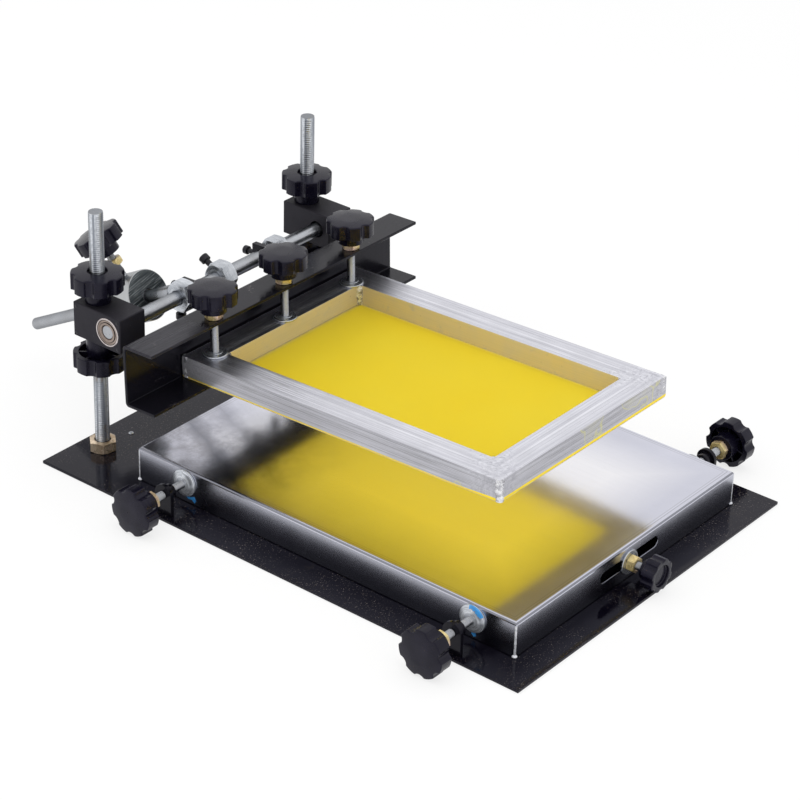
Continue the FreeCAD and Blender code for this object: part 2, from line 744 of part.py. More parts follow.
def make_clamps():
    """Screws that press the screen frame down on the beam's lower flange."""
    screws = []
    nuts = []
    knob_z = "(Size.beam_rise + Size.clamp_nut_height)"
    reach = "(%s + Size.knob_hub + Size.knob_face - %s)" % (knob_z, BAR_TOP)
    for number in (-1, 0, 1):
        x = "(Size.clamp_shift + %d * Size.clamp_pitch)" % number
        y = "-Size.clamp_reach"
        tag = str(number + 2)
        shank = cylinder("clamp_shank_" + tag, "Size.clamp_dia", reach, "z", x, y, BAR_TOP)
        foot = cylinder("clamp_foot_" + tag, "Size.clamp_foot_dia", "Size.clamp_foot", "z", x, y, BAR_TOP)
        screws.append(fused("clamp_screw_" + tag, [shank, foot]))
        nut = hexagon("clamp_nut_hex_" + tag, "Size.clamp_nut_flats", "Size.clamp_nut_height", "z", x, y,
                      "Size.beam_rise")
        hole = cylinder("clamp_nut_hole_" + tag, "(Size.clamp_dia + 2 * Size.screw_play)",
                        "Size.clamp_nut_height", "z", x, y, "Size.beam_rise")
        nuts.append(cut("clamp_nut_" + tag, nut, [hole]))
    for name, pieces in (("clamp_screws", screws), ("clamp_nuts", nuts)):
        sub_part(in_arm(grouped(name + "_set", pieces)), name)
    for number, word in ((-1, "left"), (0, "middle"), (1, "right")):
        knob = star_knob("clamp_knob_%s" % word, "Size.knob_hub", "Size.clamp_dia",
                         "(Size.knob_hub + Size.knob_face + Size.stud_gap)")
        SUB_PARTS.remove(knob)
        knob.Label = "clamp_knob_%s_upright" % word
        at(knob, "(Size.clamp_shift + %d * Size.clamp_pitch)" % number, "-Size.clamp_reach", knob_z)
        sub_part(in_arm(grouped("clamp_knob_%s_set" % word, [knob])), "clamp_knob_%s" % word)


def make_weight():
    """Counterweight, the rod that carries it and the screw that locks it there."""
    rod = along_weight_rod("weight_rod_bar", "Size.weight_rod_dia", "Size.weight_rod_start",
                           "Size.weight_rod_length")
    sub_part(in_arm(grouped("weight_rod_set", [rod])), "weight_rod")

    body = along_weight_rod("weight_body", "Size.weight_dia", "Size.weight_start", "Size.weight_length",
                            "Size.weight_offset")
    bore = along_weight_rod("weight_bore", "(Size.weight_rod_dia + 2 * Size.weight_play)",
                            "Size.weight_start", "Size.weight_length")
    mouth = along_weight_rod("weight_mouth", "(Size.weight_rod_dia + 2 * Size.weight_mouth)",
                             "Size.weight_start", "2 * Size.weight_mouth")
    along = "(Size.weight_start + Size.lock_along)"
    tap = lock_cylinder("weight_tap", "(Size.lock_dia + 2 * Size.screw_play)", along,
                        "Size.weight_rod_dia / 2", "(Size.weight_dia / 2 + Size.weight_offset)")
    sub_part(in_arm(cut("weight", body, [bore, mouth, tap])), "counterweight")

    tip = "(Size.weight_rod_dia / 2 + Size.weight_play)"
    stud = lock_cylinder("lock_stud", "Size.lock_dia", along, tip,
                         "(Size.lock_knob_start + Size.knob_hub + Size.knob_face - %s)" % tip)
    sub_part(in_arm(grouped("lock_stud_set", [stud])), "lock_screw")
    nut_hex = doc.addObject("Part::Prism", "lock_nut_hex")
    nut_hex.Polygon = 6
    bind(nut_hex, {"Circumradius": "Size.clamp_nut_flats / sqrt(3)", "Height": "Size.lock_nut_height"})
    face_outward(nut_hex, along, "Size.lock_nut_start")
    nut_hole = lock_cylinder("lock_nut_hole", "(Size.lock_dia + 2 * Size.screw_play)", along,
                             "Size.lock_nut_start", "Size.lock_nut_height")
    sub_part(in_arm(cut("lock_nut", nut_hex, [nut_hole])), "lock_nut")
    knob = star_knob("lock_knob", "Size.knob_hub", "Size.lock_dia",
                     "(Size.knob_hub + Size.knob_face + Size.stud_gap)")
    SUB_PARTS.remove(knob)
    knob.Label = "lock_knob_upright"
    face_outward(knob, along, "Size.lock_knob_start")
    sub_part(in_arm(grouped("lock_knob_set", [knob])), "lock_knob")


def face_outward(thing, along, out):
    """Points a thing's Z out of the counterweight, square to its rod."""
    drop = value_of("Size.weight_rod_drop")
    turn = value_of("Size.lock_angle")
    thing.Placement = Placement(Vector(), Rotation(Vector(1, 0, 0), -drop) * Rotation(Vector(0, 1, 0), -turn))
    return at(thing, *on_weight_rod(along, out, "Size.lock_angle"))


def lock_cylinder(name, dia, along, out, length):
    """Cylinder on the line of the lock screw."""
    thing = doc.addObject("Part::Cylinder", name)
    bind(thing, {"Radius": "(%s) / 2" % dia, "Height": length})
    return face_outward(thing, along, out)


# Platen: folded sheet cover with a slot in its front wall


def make_platen():
    body = doc.addObject("PartDesign::Body", "platen_body")
    half_x = "Size.platen_width / 2"
    half_y = "Size.platen_depth / 2"
    corners = [("-" + half_x, "-" + half_y), (half_x, "-" + half_y), (half_x, half_y), ("-" + half_x, half_y)]
    plan = outline(body, "platen_plan", "XY_Plane", corners)
    pad(body, "platen_pad", plan, "Size.platen_height")
    doc.recompute()
    high = value_of("Size.platen_height")
    slab = body.Tip
    fold = body.newObject("PartDesign::Fillet", "platen_fold")
    fold.Base = (slab, edges_where(slab.Shape, lambda middle, run: abs(middle.z - high) < 0.01))
    bind(fold, {"Radius": "Size.platen_bend"})
    doc.recompute()
    inside_x = "(Size.platen_width - 2 * Size.platen_sheet)"
    inside_y = "(Size.platen_depth - 2 * Size.platen_sheet)"
    hollow = box("platen_hollow", inside_x, inside_y, "(Size.platen_height - Size.platen_sheet)",
                 "-%s / 2" % inside_x, "-%s / 2" % inside_y)
    fold_inside = doc.addObject("Part::Fillet", "platen_hollow_fold")
    fold_inside.Base = hollow
    doc.recompute()
    roof = value_of("Size.platen_height - Size.platen_sheet")
    radius = value_of("Size.platen_bend - Size.platen_sheet")
    names = edges_where(hollow.Shape, lambda middle, run: abs(middle.z - roof) < 0.01)
    fold_inside.Edges = [(int(name[4:]), radius, radius) for name in names]
    slot_run = "(Size.slot_length - Size.slot_height)"
    depth = "4 * Size.platen_sheet"
    slot_y = "(-Size.platen_depth / 2 - Size.platen_sheet)"
    middle = box("slot_middle", slot_run, depth, "Size.slot_height", "-%s / 2" % slot_run, slot_y,
                 "(Size.slot_level - Size.slot_height / 2)")
    ends = [cylinder("slot_end_%s" % word, "Size.slot_height", depth, "y", "%d * %s / 2" % (side, slot_run),
                     slot_y, "Size.slot_level") for side, word in ((-1, "left"), (1, "right"))]
    cover = cut("platen_cover", body, [fold_inside, middle] + ends)
    at(cover, "Size.platen_x", "Size.platen_y", BASE_TOP)
    sub_part(cover, "platen")


# Side register screws: knob, lock nut, screw and round flange against the platen wall


def make_side_screws():
    knob_start = "(Size.side_nut_start + Size.side_nut_height)"
    screws = []
    nuts = []
    for side, word in ((-1, "left"), (1, "right")):
        axis = "x" if side > 0 else "-x"
        wall = "(Size.platen_x + %d * Size.platen_width / 2)" % side
        for end in ("front", "rear"):
            tag = "%s_%s" % (word, end)
            y = "Size.side_%s_y" % end

            def out(distance):
                return "(%s + %d * %s)" % (wall, side, distance)

            shank = cylinder("side_shank_" + tag, "Size.side_dia",
                             "(%s + Size.knob_hub + Size.knob_face)" % knob_start, axis, wall, y, SIDE_Z)
            rim = cylinder("side_rim_" + tag, "Size.flange_dia", "Size.flange_rim", axis, wall, y, SIDE_Z)
            dome = cone("side_dome_" + tag, "Size.flange_dia", "Size.flange_root_dia", "Size.flange_cone", axis,
                        out("Size.flange_rim"), y, SIDE_Z)
            screws.append(fused("side_screw_" + tag, [shank, rim, dome]))
            nut = hexagon("side_nut_hex_" + tag, "Size.side_nut_flats", "Size.side_nut_height", axis,
                          out("Size.side_nut_start"), y, SIDE_Z)
            hole = cylinder("side_nut_hole_" + tag, "(Size.side_dia + 2 * Size.screw_play)",
                            "Size.side_nut_height", axis, out("Size.side_nut_start"), y, SIDE_Z)
            nuts.append(cut("side_nut_" + tag, nut, [hole]))
            knob = star_knob("%s_%s_side_knob" % (word, end), "Size.knob_hub", "Size.side_dia",
                             "(Size.knob_hub + Size.knob_face + Size.stud_gap)")
            spun(knob, AXIS_TURN[axis], 0 if side > 0 else 180)
            at(knob, out(knob_start), y, SIDE_Z)
    sub_part(grouped("side_screws_set", screws), "side_screws")
    sub_part(grouped("side_nuts_set", nuts), "side_nuts")


# Front register screw: runs from its small knob through the slot to the anchor


def make_front_screw():
    def out(distance):
        return "(%s - %s)" % (PLATEN_FRONT, distance)

    tail = "(Size.anchor_setback + Size.bracket_sheet + Size.front_tail)"
    length = "(%s + Size.front_knob_start + Size.front_hub)" % tail
    screw = cylinder("front_shank", "Size.front_dia", length, "-y", "Size.front_x",
                     "(%s + %s)" % (PLATEN_FRONT, tail), FRONT_Z)
    sub_part(screw, "front_screw")
    plate = cylinder("front_washer_plate", "Size.washer_dia", "Size.washer_sheet", "-y", "Size.front_x",
                     PLATEN_FRONT, FRONT_Z)
    plate_hole = cylinder("front_washer_hole", "(Size.front_dia + 2 * Size.screw_play)",
                          "Size.washer_sheet", "-y", "Size.front_x", PLATEN_FRONT, FRONT_Z)
    sub_part(cut("front_washer_cut", plate, [plate_hole]), "front_washer")
    nut = hexagon("front_nut_hex", "Size.front_nut_flats", "Size.front_nut_height", "-y", "Size.front_x",
                  out("Size.washer_sheet"), FRONT_Z)
    nut_hole = cylinder("front_nut_hole", "(Size.front_dia + 2 * Size.screw_play)", "Size.front_nut_height",
                        "-y", "Size.front_x", out("Size.washer_sheet"), FRONT_Z)
    sub_part(cut("front_nut_cut", nut, [nut_hole]), "front_nut")

    hub = cylinder("front_knob_hub", "Size.front_hub_dia", "Size.front_hub")
    disc = cylinder("front_knob_plate", "Size.front_knob_dia", "Size.front_knob_disc", z="Size.front_hub")
    whole = fused("front_knob_whole", [hub, disc])
    top = "(Size.front_hub + Size.front_knob_disc)"
    dish = cylinder("front_knob_dish", "Size.front_dish_dia", "Size.front_dish",
                    z="(%s - Size.front_dish)" % top)
    stud = cylinder("front_knob_stud", "(Size.front_dia + 2 * Size.screw_play)", "(Size.front_hub + Size.stud_gap)")
    tools = [dish, stud]
    count = int(value_of("Size.front_lobes"))
    reach = "(Size.front_knob_dia / 2 - Size.front_notch_depth + Size.front_notch)"
    for number in range(count):
        angle = 360.0 * number / count
        tools.append(cylinder("front_knob_notch_%d" % number, "2 * Size.front_notch", top, "z",
                              "%s * cos(%s)" % (reach, angle), "%s * sin(%s)" % (reach, angle),
                              "Size.front_hub"))
    knob = cut("front_knob_cut", whole, tools)
    turned(knob, *AXIS_TURN["-y"])
    at(knob, "Size.front_x", out("Size.front_knob_start"), FRONT_Z)
    sub_part(knob, "front_knob")


make_base()
make_rod("left_rod", -1)
make_rod("right_rod", 1)
make_foot_nuts()
make_brackets()
make_front_anchor()
make_carriage()
make_shaft()
make_beam()
make_collars()
make_collar_screws()
make_screen()
make_clamps()
make_weight()
make_platen()
make_side_screws()
make_front_screw()
doc.recompute()

# Every object must have rebuilt before anything is written
for thing in doc.Objects:
    if "Invalid" in thing.State or "Error" in thing.State:
        raise RuntimeError("%s failed: %s" % (thing.Name, thing.State))
for thing in SUB_PARTS:
    shape = thing.Shape
    if shape.isNull() or not shape.isValid() or not shape.Solids:
        raise RuntimeError("%s has no valid solid" % thing.Label)

os.makedirs("parts", exist_ok=True)
for thing in SUB_PARTS:
    thing.Shape.exportStep("parts/%s.step" % thing.Label)
print(len(SUB_PARTS), "sub-parts written")
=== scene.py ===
import math
from functools import cached_property

import bpy
import bmesh
import numpy as np
from mathutils import Matrix, Vector


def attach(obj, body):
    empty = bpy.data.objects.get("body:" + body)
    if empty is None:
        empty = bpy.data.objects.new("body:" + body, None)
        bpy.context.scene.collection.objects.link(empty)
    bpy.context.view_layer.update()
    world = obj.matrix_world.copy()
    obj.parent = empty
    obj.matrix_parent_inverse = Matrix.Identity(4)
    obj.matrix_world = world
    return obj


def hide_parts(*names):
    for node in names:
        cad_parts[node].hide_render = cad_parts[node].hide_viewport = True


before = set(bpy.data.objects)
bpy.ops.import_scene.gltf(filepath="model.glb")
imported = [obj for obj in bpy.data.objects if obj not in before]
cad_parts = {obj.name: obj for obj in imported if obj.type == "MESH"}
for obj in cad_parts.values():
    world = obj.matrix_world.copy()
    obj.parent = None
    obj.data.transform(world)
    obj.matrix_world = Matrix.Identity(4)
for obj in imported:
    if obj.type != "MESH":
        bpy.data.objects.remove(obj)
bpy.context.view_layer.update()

# Sizes are in millimetres unless a comment says metres, and become metres when a piece is made.
MM = 0.001
SIDES = ((-1, "left"), (1, "right"))
BASE_X, BASE_Y, BASE_TOP = 200.0, 280.0, 3.0
ROD_X, ROD_Y, ROD_LENGTH = 146.0, 254.0, 248.0
HINGE = Vector((0.0, 227.0, 143.0))
BLOCK_HALF, BLOCK_FACE = 17.5, 162.5
ARM_TILT = 2.0
BEAM_TOP, BEAM_BOTTOM, BEAM_SHEET = 11.0, -51.0, 3.0
BEAM_BACK, BEAM_FRONT, BEAM_HALF = -44.0, -80.0, 187.0
LUG_X = (-50, 51)
WEIGHT_COLLAR_X, MIDDLE_COLLAR_X, RIGHT_COLLAR_X = -64.0, -8.5, 68.5
SHAFT_RADIUS, SHAFT_BORE = 7.0, 7.1
MESH_BOTTOM, BAR_BOTTOM, BAR_TOP = -48.0, -47.4, -26.4
SCREEN_X, SCREEN_REAR = 8.0, -48.3
SCREEN_WIDTH, SCREEN_LENGTH, BAR_WIDTH = 248.0, 368.0, 30.0
CLAMP_X, CLAMP_Y = (-94.0, 3.0, 100.0), -69.5
ROD_DROP, WEIGHT_START, WEIGHT_LENGTH, WEIGHT_SHIFT = 26.4, 44.0, 50.0, 1.5
LOCK_TURN, UNDER_TURN = 15.0, -60.0 - ROD_DROP
PLATEN_X, PLATEN_Y, PLATEN_WIDTH, PLATEN_DEPTH, PLATEN_HEIGHT = 1.5, -30.5, 332.0, 438.0, 35.0
PLATEN_SHEET, PLATEN_BEND = 1.5, 3.0
SLOT_Z, SLOT_RUN, SLOT_HALF = 21.5, 38.5, 5.5
FRONT_Z, FRONT_TAB_Y = 20.5, (-229.5, -225.5)
SIDE_Z, SIDE_Y, BRACKET_X, BRACKET_SHEET, TAB_RADIUS = 23.5, (-204.0, 130.0), 190.0, 4.0, 10.0
SCREW_BORE, ROD_BORE = 4.15, 7.15
KNOB_HUB, KNOB_FACE, KNOB_FLAT = 10.0, 4.5, 9.5
RIVET = (-108, 254, BASE_TOP)
# Smudges on the platen, in metres: slope of X over Y, X where Y is 0, half width, depth
SMUDGES = ((0.54, -0.1955, 0.012, 0.85), (0.50, -0.150, 0.016, 0.45))


def turn(axis, degrees):
    return Matrix.Rotation(math.radians(degrees), 4, axis)


def move(x=0.0, y=0.0, z=0.0):
    return Matrix.Translation((x, y, z))


FACING = {"-z": turn("X", 180), "x": turn("Y", 90), "-x": turn("Y", -90), "-y": turn("X", 90)}
ARM = Matrix.Translation(HINGE) @ turn((-1, 0, 0), ARM_TILT)
WEIGHT_ROD = ARM @ move(WEIGHT_COLLAR_X) @ turn((-1, 0, 0), 90 + ROD_DROP) @ move(0, -7.0, 0)


def outward(side):
    """Turn of Z to the right for a side of 1, and to the left for -1."""
    return FACING["x" if side > 0 else "-x"]


# Shapes


class Shape:
    """Points, faces, face materials and a flow coordinate (along, across) for each face corner."""

    def __init__(self):
        self.points = []
        self.faces = []
        self.paint = []
        self.flow = []

    def rows(self, rows, paint=0, closed=True, start_cap=False, end_cap=False, flow=None):
        """Joins rows of points into a skin. A row of one point is a pole."""
        starts = []
        for row in rows:
            starts.append(len(self.points))
            self.points.extend([tuple(map(float, p)) for p in row])
        count = max(len(row) for row in rows)
        steps = count if closed else count - 1
        for k in range(len(rows) - 1):
            a, b = starts[k], starts[k + 1]
            na, nb = len(rows[k]), len(rows[k + 1])
            for i in range(steps):
                j = (i + 1) % count
                ids = [a + (i if na > 1 else 0), a + (j if na > 1 else 0),
                       b + (j if nb > 1 else 0), b + (i if nb > 1 else 0)]
                spots = [(k, i), (k, i + 1), (k + 1, i + 1), (k + 1, i)]
                if na == 1:
                    ids, spots = [ids[0]] + ids[2:], [spots[0]] + spots[2:]
                elif nb == 1:
                    ids, spots = ids[:3], spots[:3]
                self.faces.append(ids)
                self.paint.append(paint)
                if flow:
                    self.flow.append([flow(r, c) for r, c in spots])
                else:
                    self.flow.append([(float(r), float(c)) for r, c in spots])
        for wanted, k in ((start_cap, 0), (end_cap, len(rows) - 1)):
            if wanted:
                ids = list(range(starts[k], starts[k] + len(rows[k])))
                self.faces.append(ids)
                self.paint.append(paint)
                self.flow.append([(self.points[i][0], self.points[i][1]) for i in ids])
        return self

    def add(self, other, matrix=None):
        """Takes in another shape, moved by a matrix."""
        first = len(self.points)
        for p in other.points:
            self.points.append(tuple(matrix @ Vector(p)) if matrix else p)
        self.faces += [[first + i for i in face] for face in other.faces]
        self.paint += other.paint
        self.flow += other.flow
        return self


def circle(radius, z, angles):
    """Points about Z in some directions; radius may be one number or one for each point."""
    return np.stack([radius * np.cos(angles), radius * np.sin(angles), np.full(len(angles), float(z))], 1)


def ring(radius, z, count=48):
    return circle(radius, z, np.arange(count) * math.tau / count)


def lathe(profile, count=48, paint=0):
    """Turned shape from (radius, z) pairs; a radius of zero is a pole."""
    rows = [[(0, 0, z)] if r == 0 else ring(r, z, count) for r, z in profile]
    return Shape().rows(rows, paint)


def arc(cx, cy, radius, start, end, steps=5):
    """Points of an arc, angles in degrees."""
    return [(cx + radius * math.cos(math.radians(a)), cy + radius * math.sin(math.radians(a)))
            for a in np.linspace(start, end, steps + 1)]


def thread(z0, z1, radius=4.0, pitch=1.25, chamfer=0.8, count=20, share=0.32, core_paint=0):
    """Bar with a helical thread, chamfered at both ends; share is its depth over its pitch."""
    depth = share * pitch
    steps = 6
    turns = int(math.ceil((z1 - z0) / pitch)) + 1
    angles = np.arange(count + 1) * math.tau / count
    rows = []
    for k in range(-steps, turns * steps):
        z = z0 + (k / steps + angles / math.tau) * pitch
        if z.max() < z0 or z.min() > z1:
            continue
        z = np.clip(z, z0, z1)
        near = np.minimum(z - z0, z1 - z)
        dip = depth * (0.5 - 0.5 * math.cos(math.tau * k / steps))
        r = np.minimum(radius - dip, radius - depth - 0.2 + near * (depth + 0.2) / chamfer)
        rows.append(np.stack([r * np.cos(angles), r * np.sin(angles), z], 1))
    core = radius - depth - 0.1
    return Shape().rows(rows, closed=False).add(lathe([(0, z0), (core, z0), (core, z1), (0, z1)], count, core_paint))


def hexagon_radius(flats, count):
    """Distance to a hexagon's side in each of count directions, corner at the first."""
    angles = (np.arange(count) * math.tau / count) % (math.pi / 3) - math.pi / 6
    return flats / 2 / np.cos(angles)


def hex_nut(flats, height, bore, count=72):
    """Hexagon nut with its corners turned off at 30 degrees."""
    far = hexagon_radius(flats, count)
    flat = flats / 2 * 0.96
    low, high = ring(far, 0, count), ring(far, height, count)
    drop = (far - flat) * math.tan(math.radians(30))
    low[:, 2] += drop
    high[:, 2] -= drop
    ends = [ring(r, z, count) for r, z in ((bore, 0.5), (bore + 0.5, 0), (flat, 0), (flat, height),
                                           (bore + 0.7, height), (bore, height - 0.7), (bore, 0.5))]
    return Shape().rows([*ends[:3], low, high, *ends[3:]])


def socket_screw(dia, reach, head_dia, head, key):
    """Socket head screw along Z from 0, with a hexagon socket in its head."""
    count = 36
    top = reach + head
    r, h = dia / 2, head_dia / 2
    key_ring = hexagon_radius(key, count)
    grip = h - 0.12 * (np.arange(count) % 2)
    profile = ((r, 0), (r, reach), (h - 0.3, reach), (h, reach + 0.3), (grip, reach + 0.6), (grip, top - 1.0),
               (h - 0.05, top - 0.6), (h - 0.6, top), (key_ring + 0.2, top), (key_ring, top - 0.2),
               (key_ring, top - 3))
    return Shape().rows([[(0, 0, 0)], *(ring(s, z, count) for s, z in profile), [(0, 0, top - 3.4)]])


def lobed_outline(radius, depth, notch, tip, lobes, steps=5):
    """Points and outward directions of a disc with round notches and rounded lobes."""
    reach = radius - depth + notch
    spread = ((radius - tip) ** 2 + reach ** 2 - (notch + tip) ** 2) / (2 * (radius - tip) * reach)
    shift = math.acos(spread)
    half = math.pi / lobes
    back = 2 * half - shift
    centre = Vector((reach, 0))
    near, far = (Vector(((radius - tip) * math.cos(a), (radius - tip) * math.sin(a))) for a in (shift, back))
    contact = (near - centre).normalized()
    swing = math.atan2(contact.y, contact.x)
    # each run is the middle of an arc, its radius, its angles and the side that is outward
    runs = ((centre, notch, np.linspace(math.tau - swing, swing, steps + 3), -1),
            (near, tip, np.linspace(swing - math.pi, shift, steps + 1)[1:], 1),
            (Vector((0, 0)), radius, np.linspace(shift, back, steps)[1:-1], 1),
            (far, tip, np.linspace(back, 2 * half - (swing - math.pi), steps + 1)[:-1], 1))
    points, normals = [], []
    for k in range(lobes):
        spin = Matrix.Rotation(2 * half * k, 2)
        for middle, size, angles, side in runs:
            for a in angles:
                n = Vector((math.cos(a), math.sin(a)))
                points.append(spin @ (middle + n * size))
                normals.append(spin @ (n * side))
    return np.array(points), np.array(normals)


def star_knob(hub=KNOB_HUB, disc=14.0, radius=23.25, hub_radius=12.5, stud=4.2, eye=0.0, lobes=7, depth=3.0,
              notch=6.0, tip=1.5, crown=1.5, dish=0.0):
    """Star knob on its hub, face up along Z, with an eye through it or a hole for a stud. With a dished face
    it is solid, and otherwise hollow below its face, with ribs in the hollow."""
    points, normals = lobed_outline(radius, depth, notch, tip, lobes)
    angles = np.arctan2(points[:, 1], points[:, 0])
    edge = hub + disc
    top = edge + crown
    under = top - KNOB_FACE
    rim = radius - depth - 2.6

    def lobed(inset, z):
        return np.column_stack([points - normals * inset, np.full(len(points), float(z))])

    def domed(spots, below=0.0):
        """The spots, raised to the shallow dome of the face or a little below it."""
        away = np.clip((np.linalg.norm(spots, axis=1) - KNOB_FLAT) / (radius - KNOB_FLAT), 0, 1)
        return np.column_stack([spots, edge + crown * (1 - away ** 1.4) - below])

    def face_row(share):
        """Part of the way from the lobed edge to the flat middle."""
        start = points - normals * 1.1
        return domed(start + (circle(KNOB_FLAT, 0, angles)[:, :2] - start) * share)

    def circles(*spots):
        return [circle(r, z, angles) for r, z in spots]

    rows = [] if eye else [[(0, 0, under + 0.5)], *circles((stud, under + 0.5))]
    rows += circles((stud, 0.4), (stud + 0.4, 0), (hub_radius - 0.8, 0), (hub_radius - 0.2, 0.3), (hub_radius, 0.9))
    if dish:
        rows += circles((hub_radius, hub))
    else:
        rows += circles((hub_radius + 0.3, under - 0.6), (hub_radius + 0.9, under), (rim - 0.8, under),
                        (rim, under - 0.8), (rim + 0.1, hub + 0.5), (rim + 0.5, hub))
    rows += [lobed(1.2, hub), lobed(0.35, hub + 0.1), lobed(0.0, hub + 0.5)]
    rows += [domed(points - normals * inset, below) for inset, below in ((0, 1.0), (0.12, 0.45), (0.5, 0.12))]
    if eye:
        rows += [face_row(s) for s in (0.0, 0.25, 0.5, 0.8)]
        rows += circles((eye + 0.5, top), (eye, top - 0.5), (eye, under + 0.4), (eye - 0.4, under),
                        (stud + 0.4, under), (stud, under - 0.4), (stud, 0.4))
    elif dish:
        rows += [lobed(1.1, edge)]
        rows += circles((dish + 0.8, top), (dish + 0.2, top - 0.3), (dish, top - 0.9), (dish - 0.3, top - 2.4),
                        (dish - 1.0, top - 3), (dish / 2, top - 2.8)) + [[(0, 0, top - 2.7)]]
    else:
        rows += [face_row(s) for s in (0.0, 0.25, 0.5, 0.8, 1.0)] + circles((4.0, top)) + [[(0, 0, top)]]
    shape = Shape().rows(rows)
    if not dish:
        rib = box(hub_radius - 0.4, radius - depth - 2.4, -0.8, 0.8, hub + 1.6, under + 0.3)
        for k in range(lobes):
            shape.add(rib, turn("Z", (k + 0.5) * 360 / lobes))
    return shape


def box(x0, x1, y0, y1, z0, z1):
    return Shape().rows([[(x0, y0, z), (x1, y0, z), (x1, y1, z), (x0, y1, z)] for z in (z0, z1)],
                        start_cap=True, end_cap=True)


def extrusion(outline, start, end, axis="x"):
    """Prism of a closed outline in the plane across X or Y."""
    rows = [[(s, u, v) if axis == "x" else (u, s, v) for u, v in outline] for s in (start, end)]
    return Shape().rows(rows, start_cap=True, end_cap=True)


# Materials


class Value:
    """Output of a node. Sums, products, abs(), fit() and scaled() add the node that works them out."""

    def __init__(self, paint, socket):
        self.paint, self.socket = paint, socket

    def __add__(self, other):
        return self.paint.math("ADD", self, other)

    def __sub__(self, other):
        return self.paint.math("SUBTRACT", self, other)

    def __rsub__(self, other):
        return self.paint.math("SUBTRACT", other, self)

    def __mul__(self, other):
        return self.paint.math("MULTIPLY", self, other)

    def __abs__(self):
        return self.paint.math("ABSOLUTE", self)

    def axis(self, index):
        return self.paint.out("ShaderNodeSeparateXYZ", index, {"Vector": self})

    def fit(self, low, high, out_low=0.0, out_high=1.0):
        """The stretch from low to high, mapped to another and held there."""
        return self.paint.out("ShaderNodeMapRange", "Result", {
            "Value": self, "From Min": low, "From Max": high, "To Min": out_low, "To Max": out_high})

    def scaled(self, x, y, z=1.0, turned=(0, 0, 0)):
        return self.paint.out("ShaderNodeMapping", "Vector", {"Vector": self, "Scale": (x, y, z), "Rotation": turned})


class Paint:
    """A procedural material built around one principled shader."""

    def __init__(self, name, color, metallic, roughness, more=()):
        self.material = bpy.data.materials.new(name)
        self.material.use_nodes = True
        self.tree = self.material.node_tree
        self.shader = self.tree.nodes["Principled BSDF"]
        plain = {"Base Color": (*color, 1), "Metallic": metallic, "Roughness": roughness, **dict(more)}
        for key, value in plain.items():
            self.shader.inputs[key].default_value = value

    @cached_property
    def place(self):
        """Position in the object's own space, in metres."""
        return self.out("ShaderNodeTexCoord", "Object")

    @cached_property
    def flow(self):
        """Coordinates along and across the surface."""
        return self.out("ShaderNodeUVMap", "UV", uv_map="flow")

    def node(self, kind, inputs=None, **settings):
        thing = self.tree.nodes.new(kind)
        for key, value in settings.items():
            setattr(thing, key, value)
        for key, value in (inputs or {}).items():
            self.feed(value, thing.inputs[key])
        return thing

    def out(self, kind, output, inputs=None, **settings):
        return Value(self, self.node(kind, inputs, **settings).outputs[output])

    def feed(self, value, socket):
        if isinstance(value, Value):
            self.tree.links.new(value.socket, socket)
        elif hasattr(value, "__len__") and len(value) == 3 and len(socket.default_value) == 4:
            socket.default_value = (*value, 1)
        else:
            socket.default_value = value

    def noise(self, scale, detail=4.0, rough=0.55, vector=None, distortion=0.0):
        return self.out("ShaderNodeTexNoise", "Fac", {"Vector": vector or self.place, "Scale": scale,
                                                      "Detail": detail, "Roughness": rough,
                                                      "Distortion": distortion})

    def math(self, kind, a, b=0.0):
        return self.out("ShaderNodeMath", 0, {0: a, 1: b}, operation=kind)

    def mix(self, share, a, b):
        return self.out("ShaderNodeMix", 2, {0: share, 6: a, 7: b}, data_type="RGBA")

    def color(self, value):
        self.feed(value, self.shader.inputs["Base Color"])

    def shaded(self, tone, low, high, away):
        """Painted shade: colour that goes over to another, darker one where the surface turns away from the viewer.
        """
        facing = self.out("ShaderNodeLayerWeight", "Facing", {"Blend": 0.5})
        self.color(self.mix(facing.fit(low, high), tone, away))

    def rough(self, value):
        self.feed(value, self.shader.inputs["Roughness"])

    def bump(self, height, distance):
        self.feed(self.out("ShaderNodeBump", "Normal", {"Height": height, "Distance": distance, "Strength": 1.0}),
                  self.shader.inputs["Normal"])

    def joined(self, share, kind, color):
        """Mixes a share of another shader in."""
        other = self.node(kind, {"Color": color})
        both = self.node("ShaderNodeMixShader", {"Fac": share})
        self.tree.links.new(self.shader.outputs[0], both.inputs[1])
        self.tree.links.new(other.outputs[0], both.inputs[2])
        self.tree.links.new(both.outputs[0], self.tree.nodes["Material Output"].inputs["Surface"])


PAINTS = {}


def paint(*plain):
    """Makes a material of plain values, lets the function work it out, and keeps it under the function's name."""

    def make(work):
        p = Paint(work.__name__, *plain)
        work(p)
        PAINTS[work.__name__] = p.material
        return work

    return make


def coat(specular):
    """Strength and faint violet tint of a black coat's reflection."""
    return {"Specular IOR Level": specular, "Specular Tint": (0.86, 0.84, 1.0, 1)}


@paint((0.006, 0.006, 0.007), 0.0, 0.12, coat(0.20))
def gloss_black(p):
    """Glossy paint of the base plate, with dust and faint brown smears."""
    dots = p.noise(750, 2, 0.7).fit(0.63, 0.68) * p.noise(11, 5, 0.6).fit(0.42, 0.62)
    smear = p.noise(24, 7, 0.7, distortion=1.4).fit(0.62, 0.74, 0.0, 0.5)
    tone = p.mix(p.noise(9, 6, 0.65).fit(0.4, 0.8), (0.0030, 0.0025, 0.0060), (0.011, 0.010, 0.016))
    tone = p.mix(smear, tone, (0.030, 0.025, 0.021))
    p.color(p.mix(dots, tone, (0.22, 0.19, 0.17)))
    p.rough(p.noise(22, 6, 0.65).fit(0.35, 0.75, 0.05, 0.20))
    p.bump(p.noise(420, 3, 0.5), 0.00004)


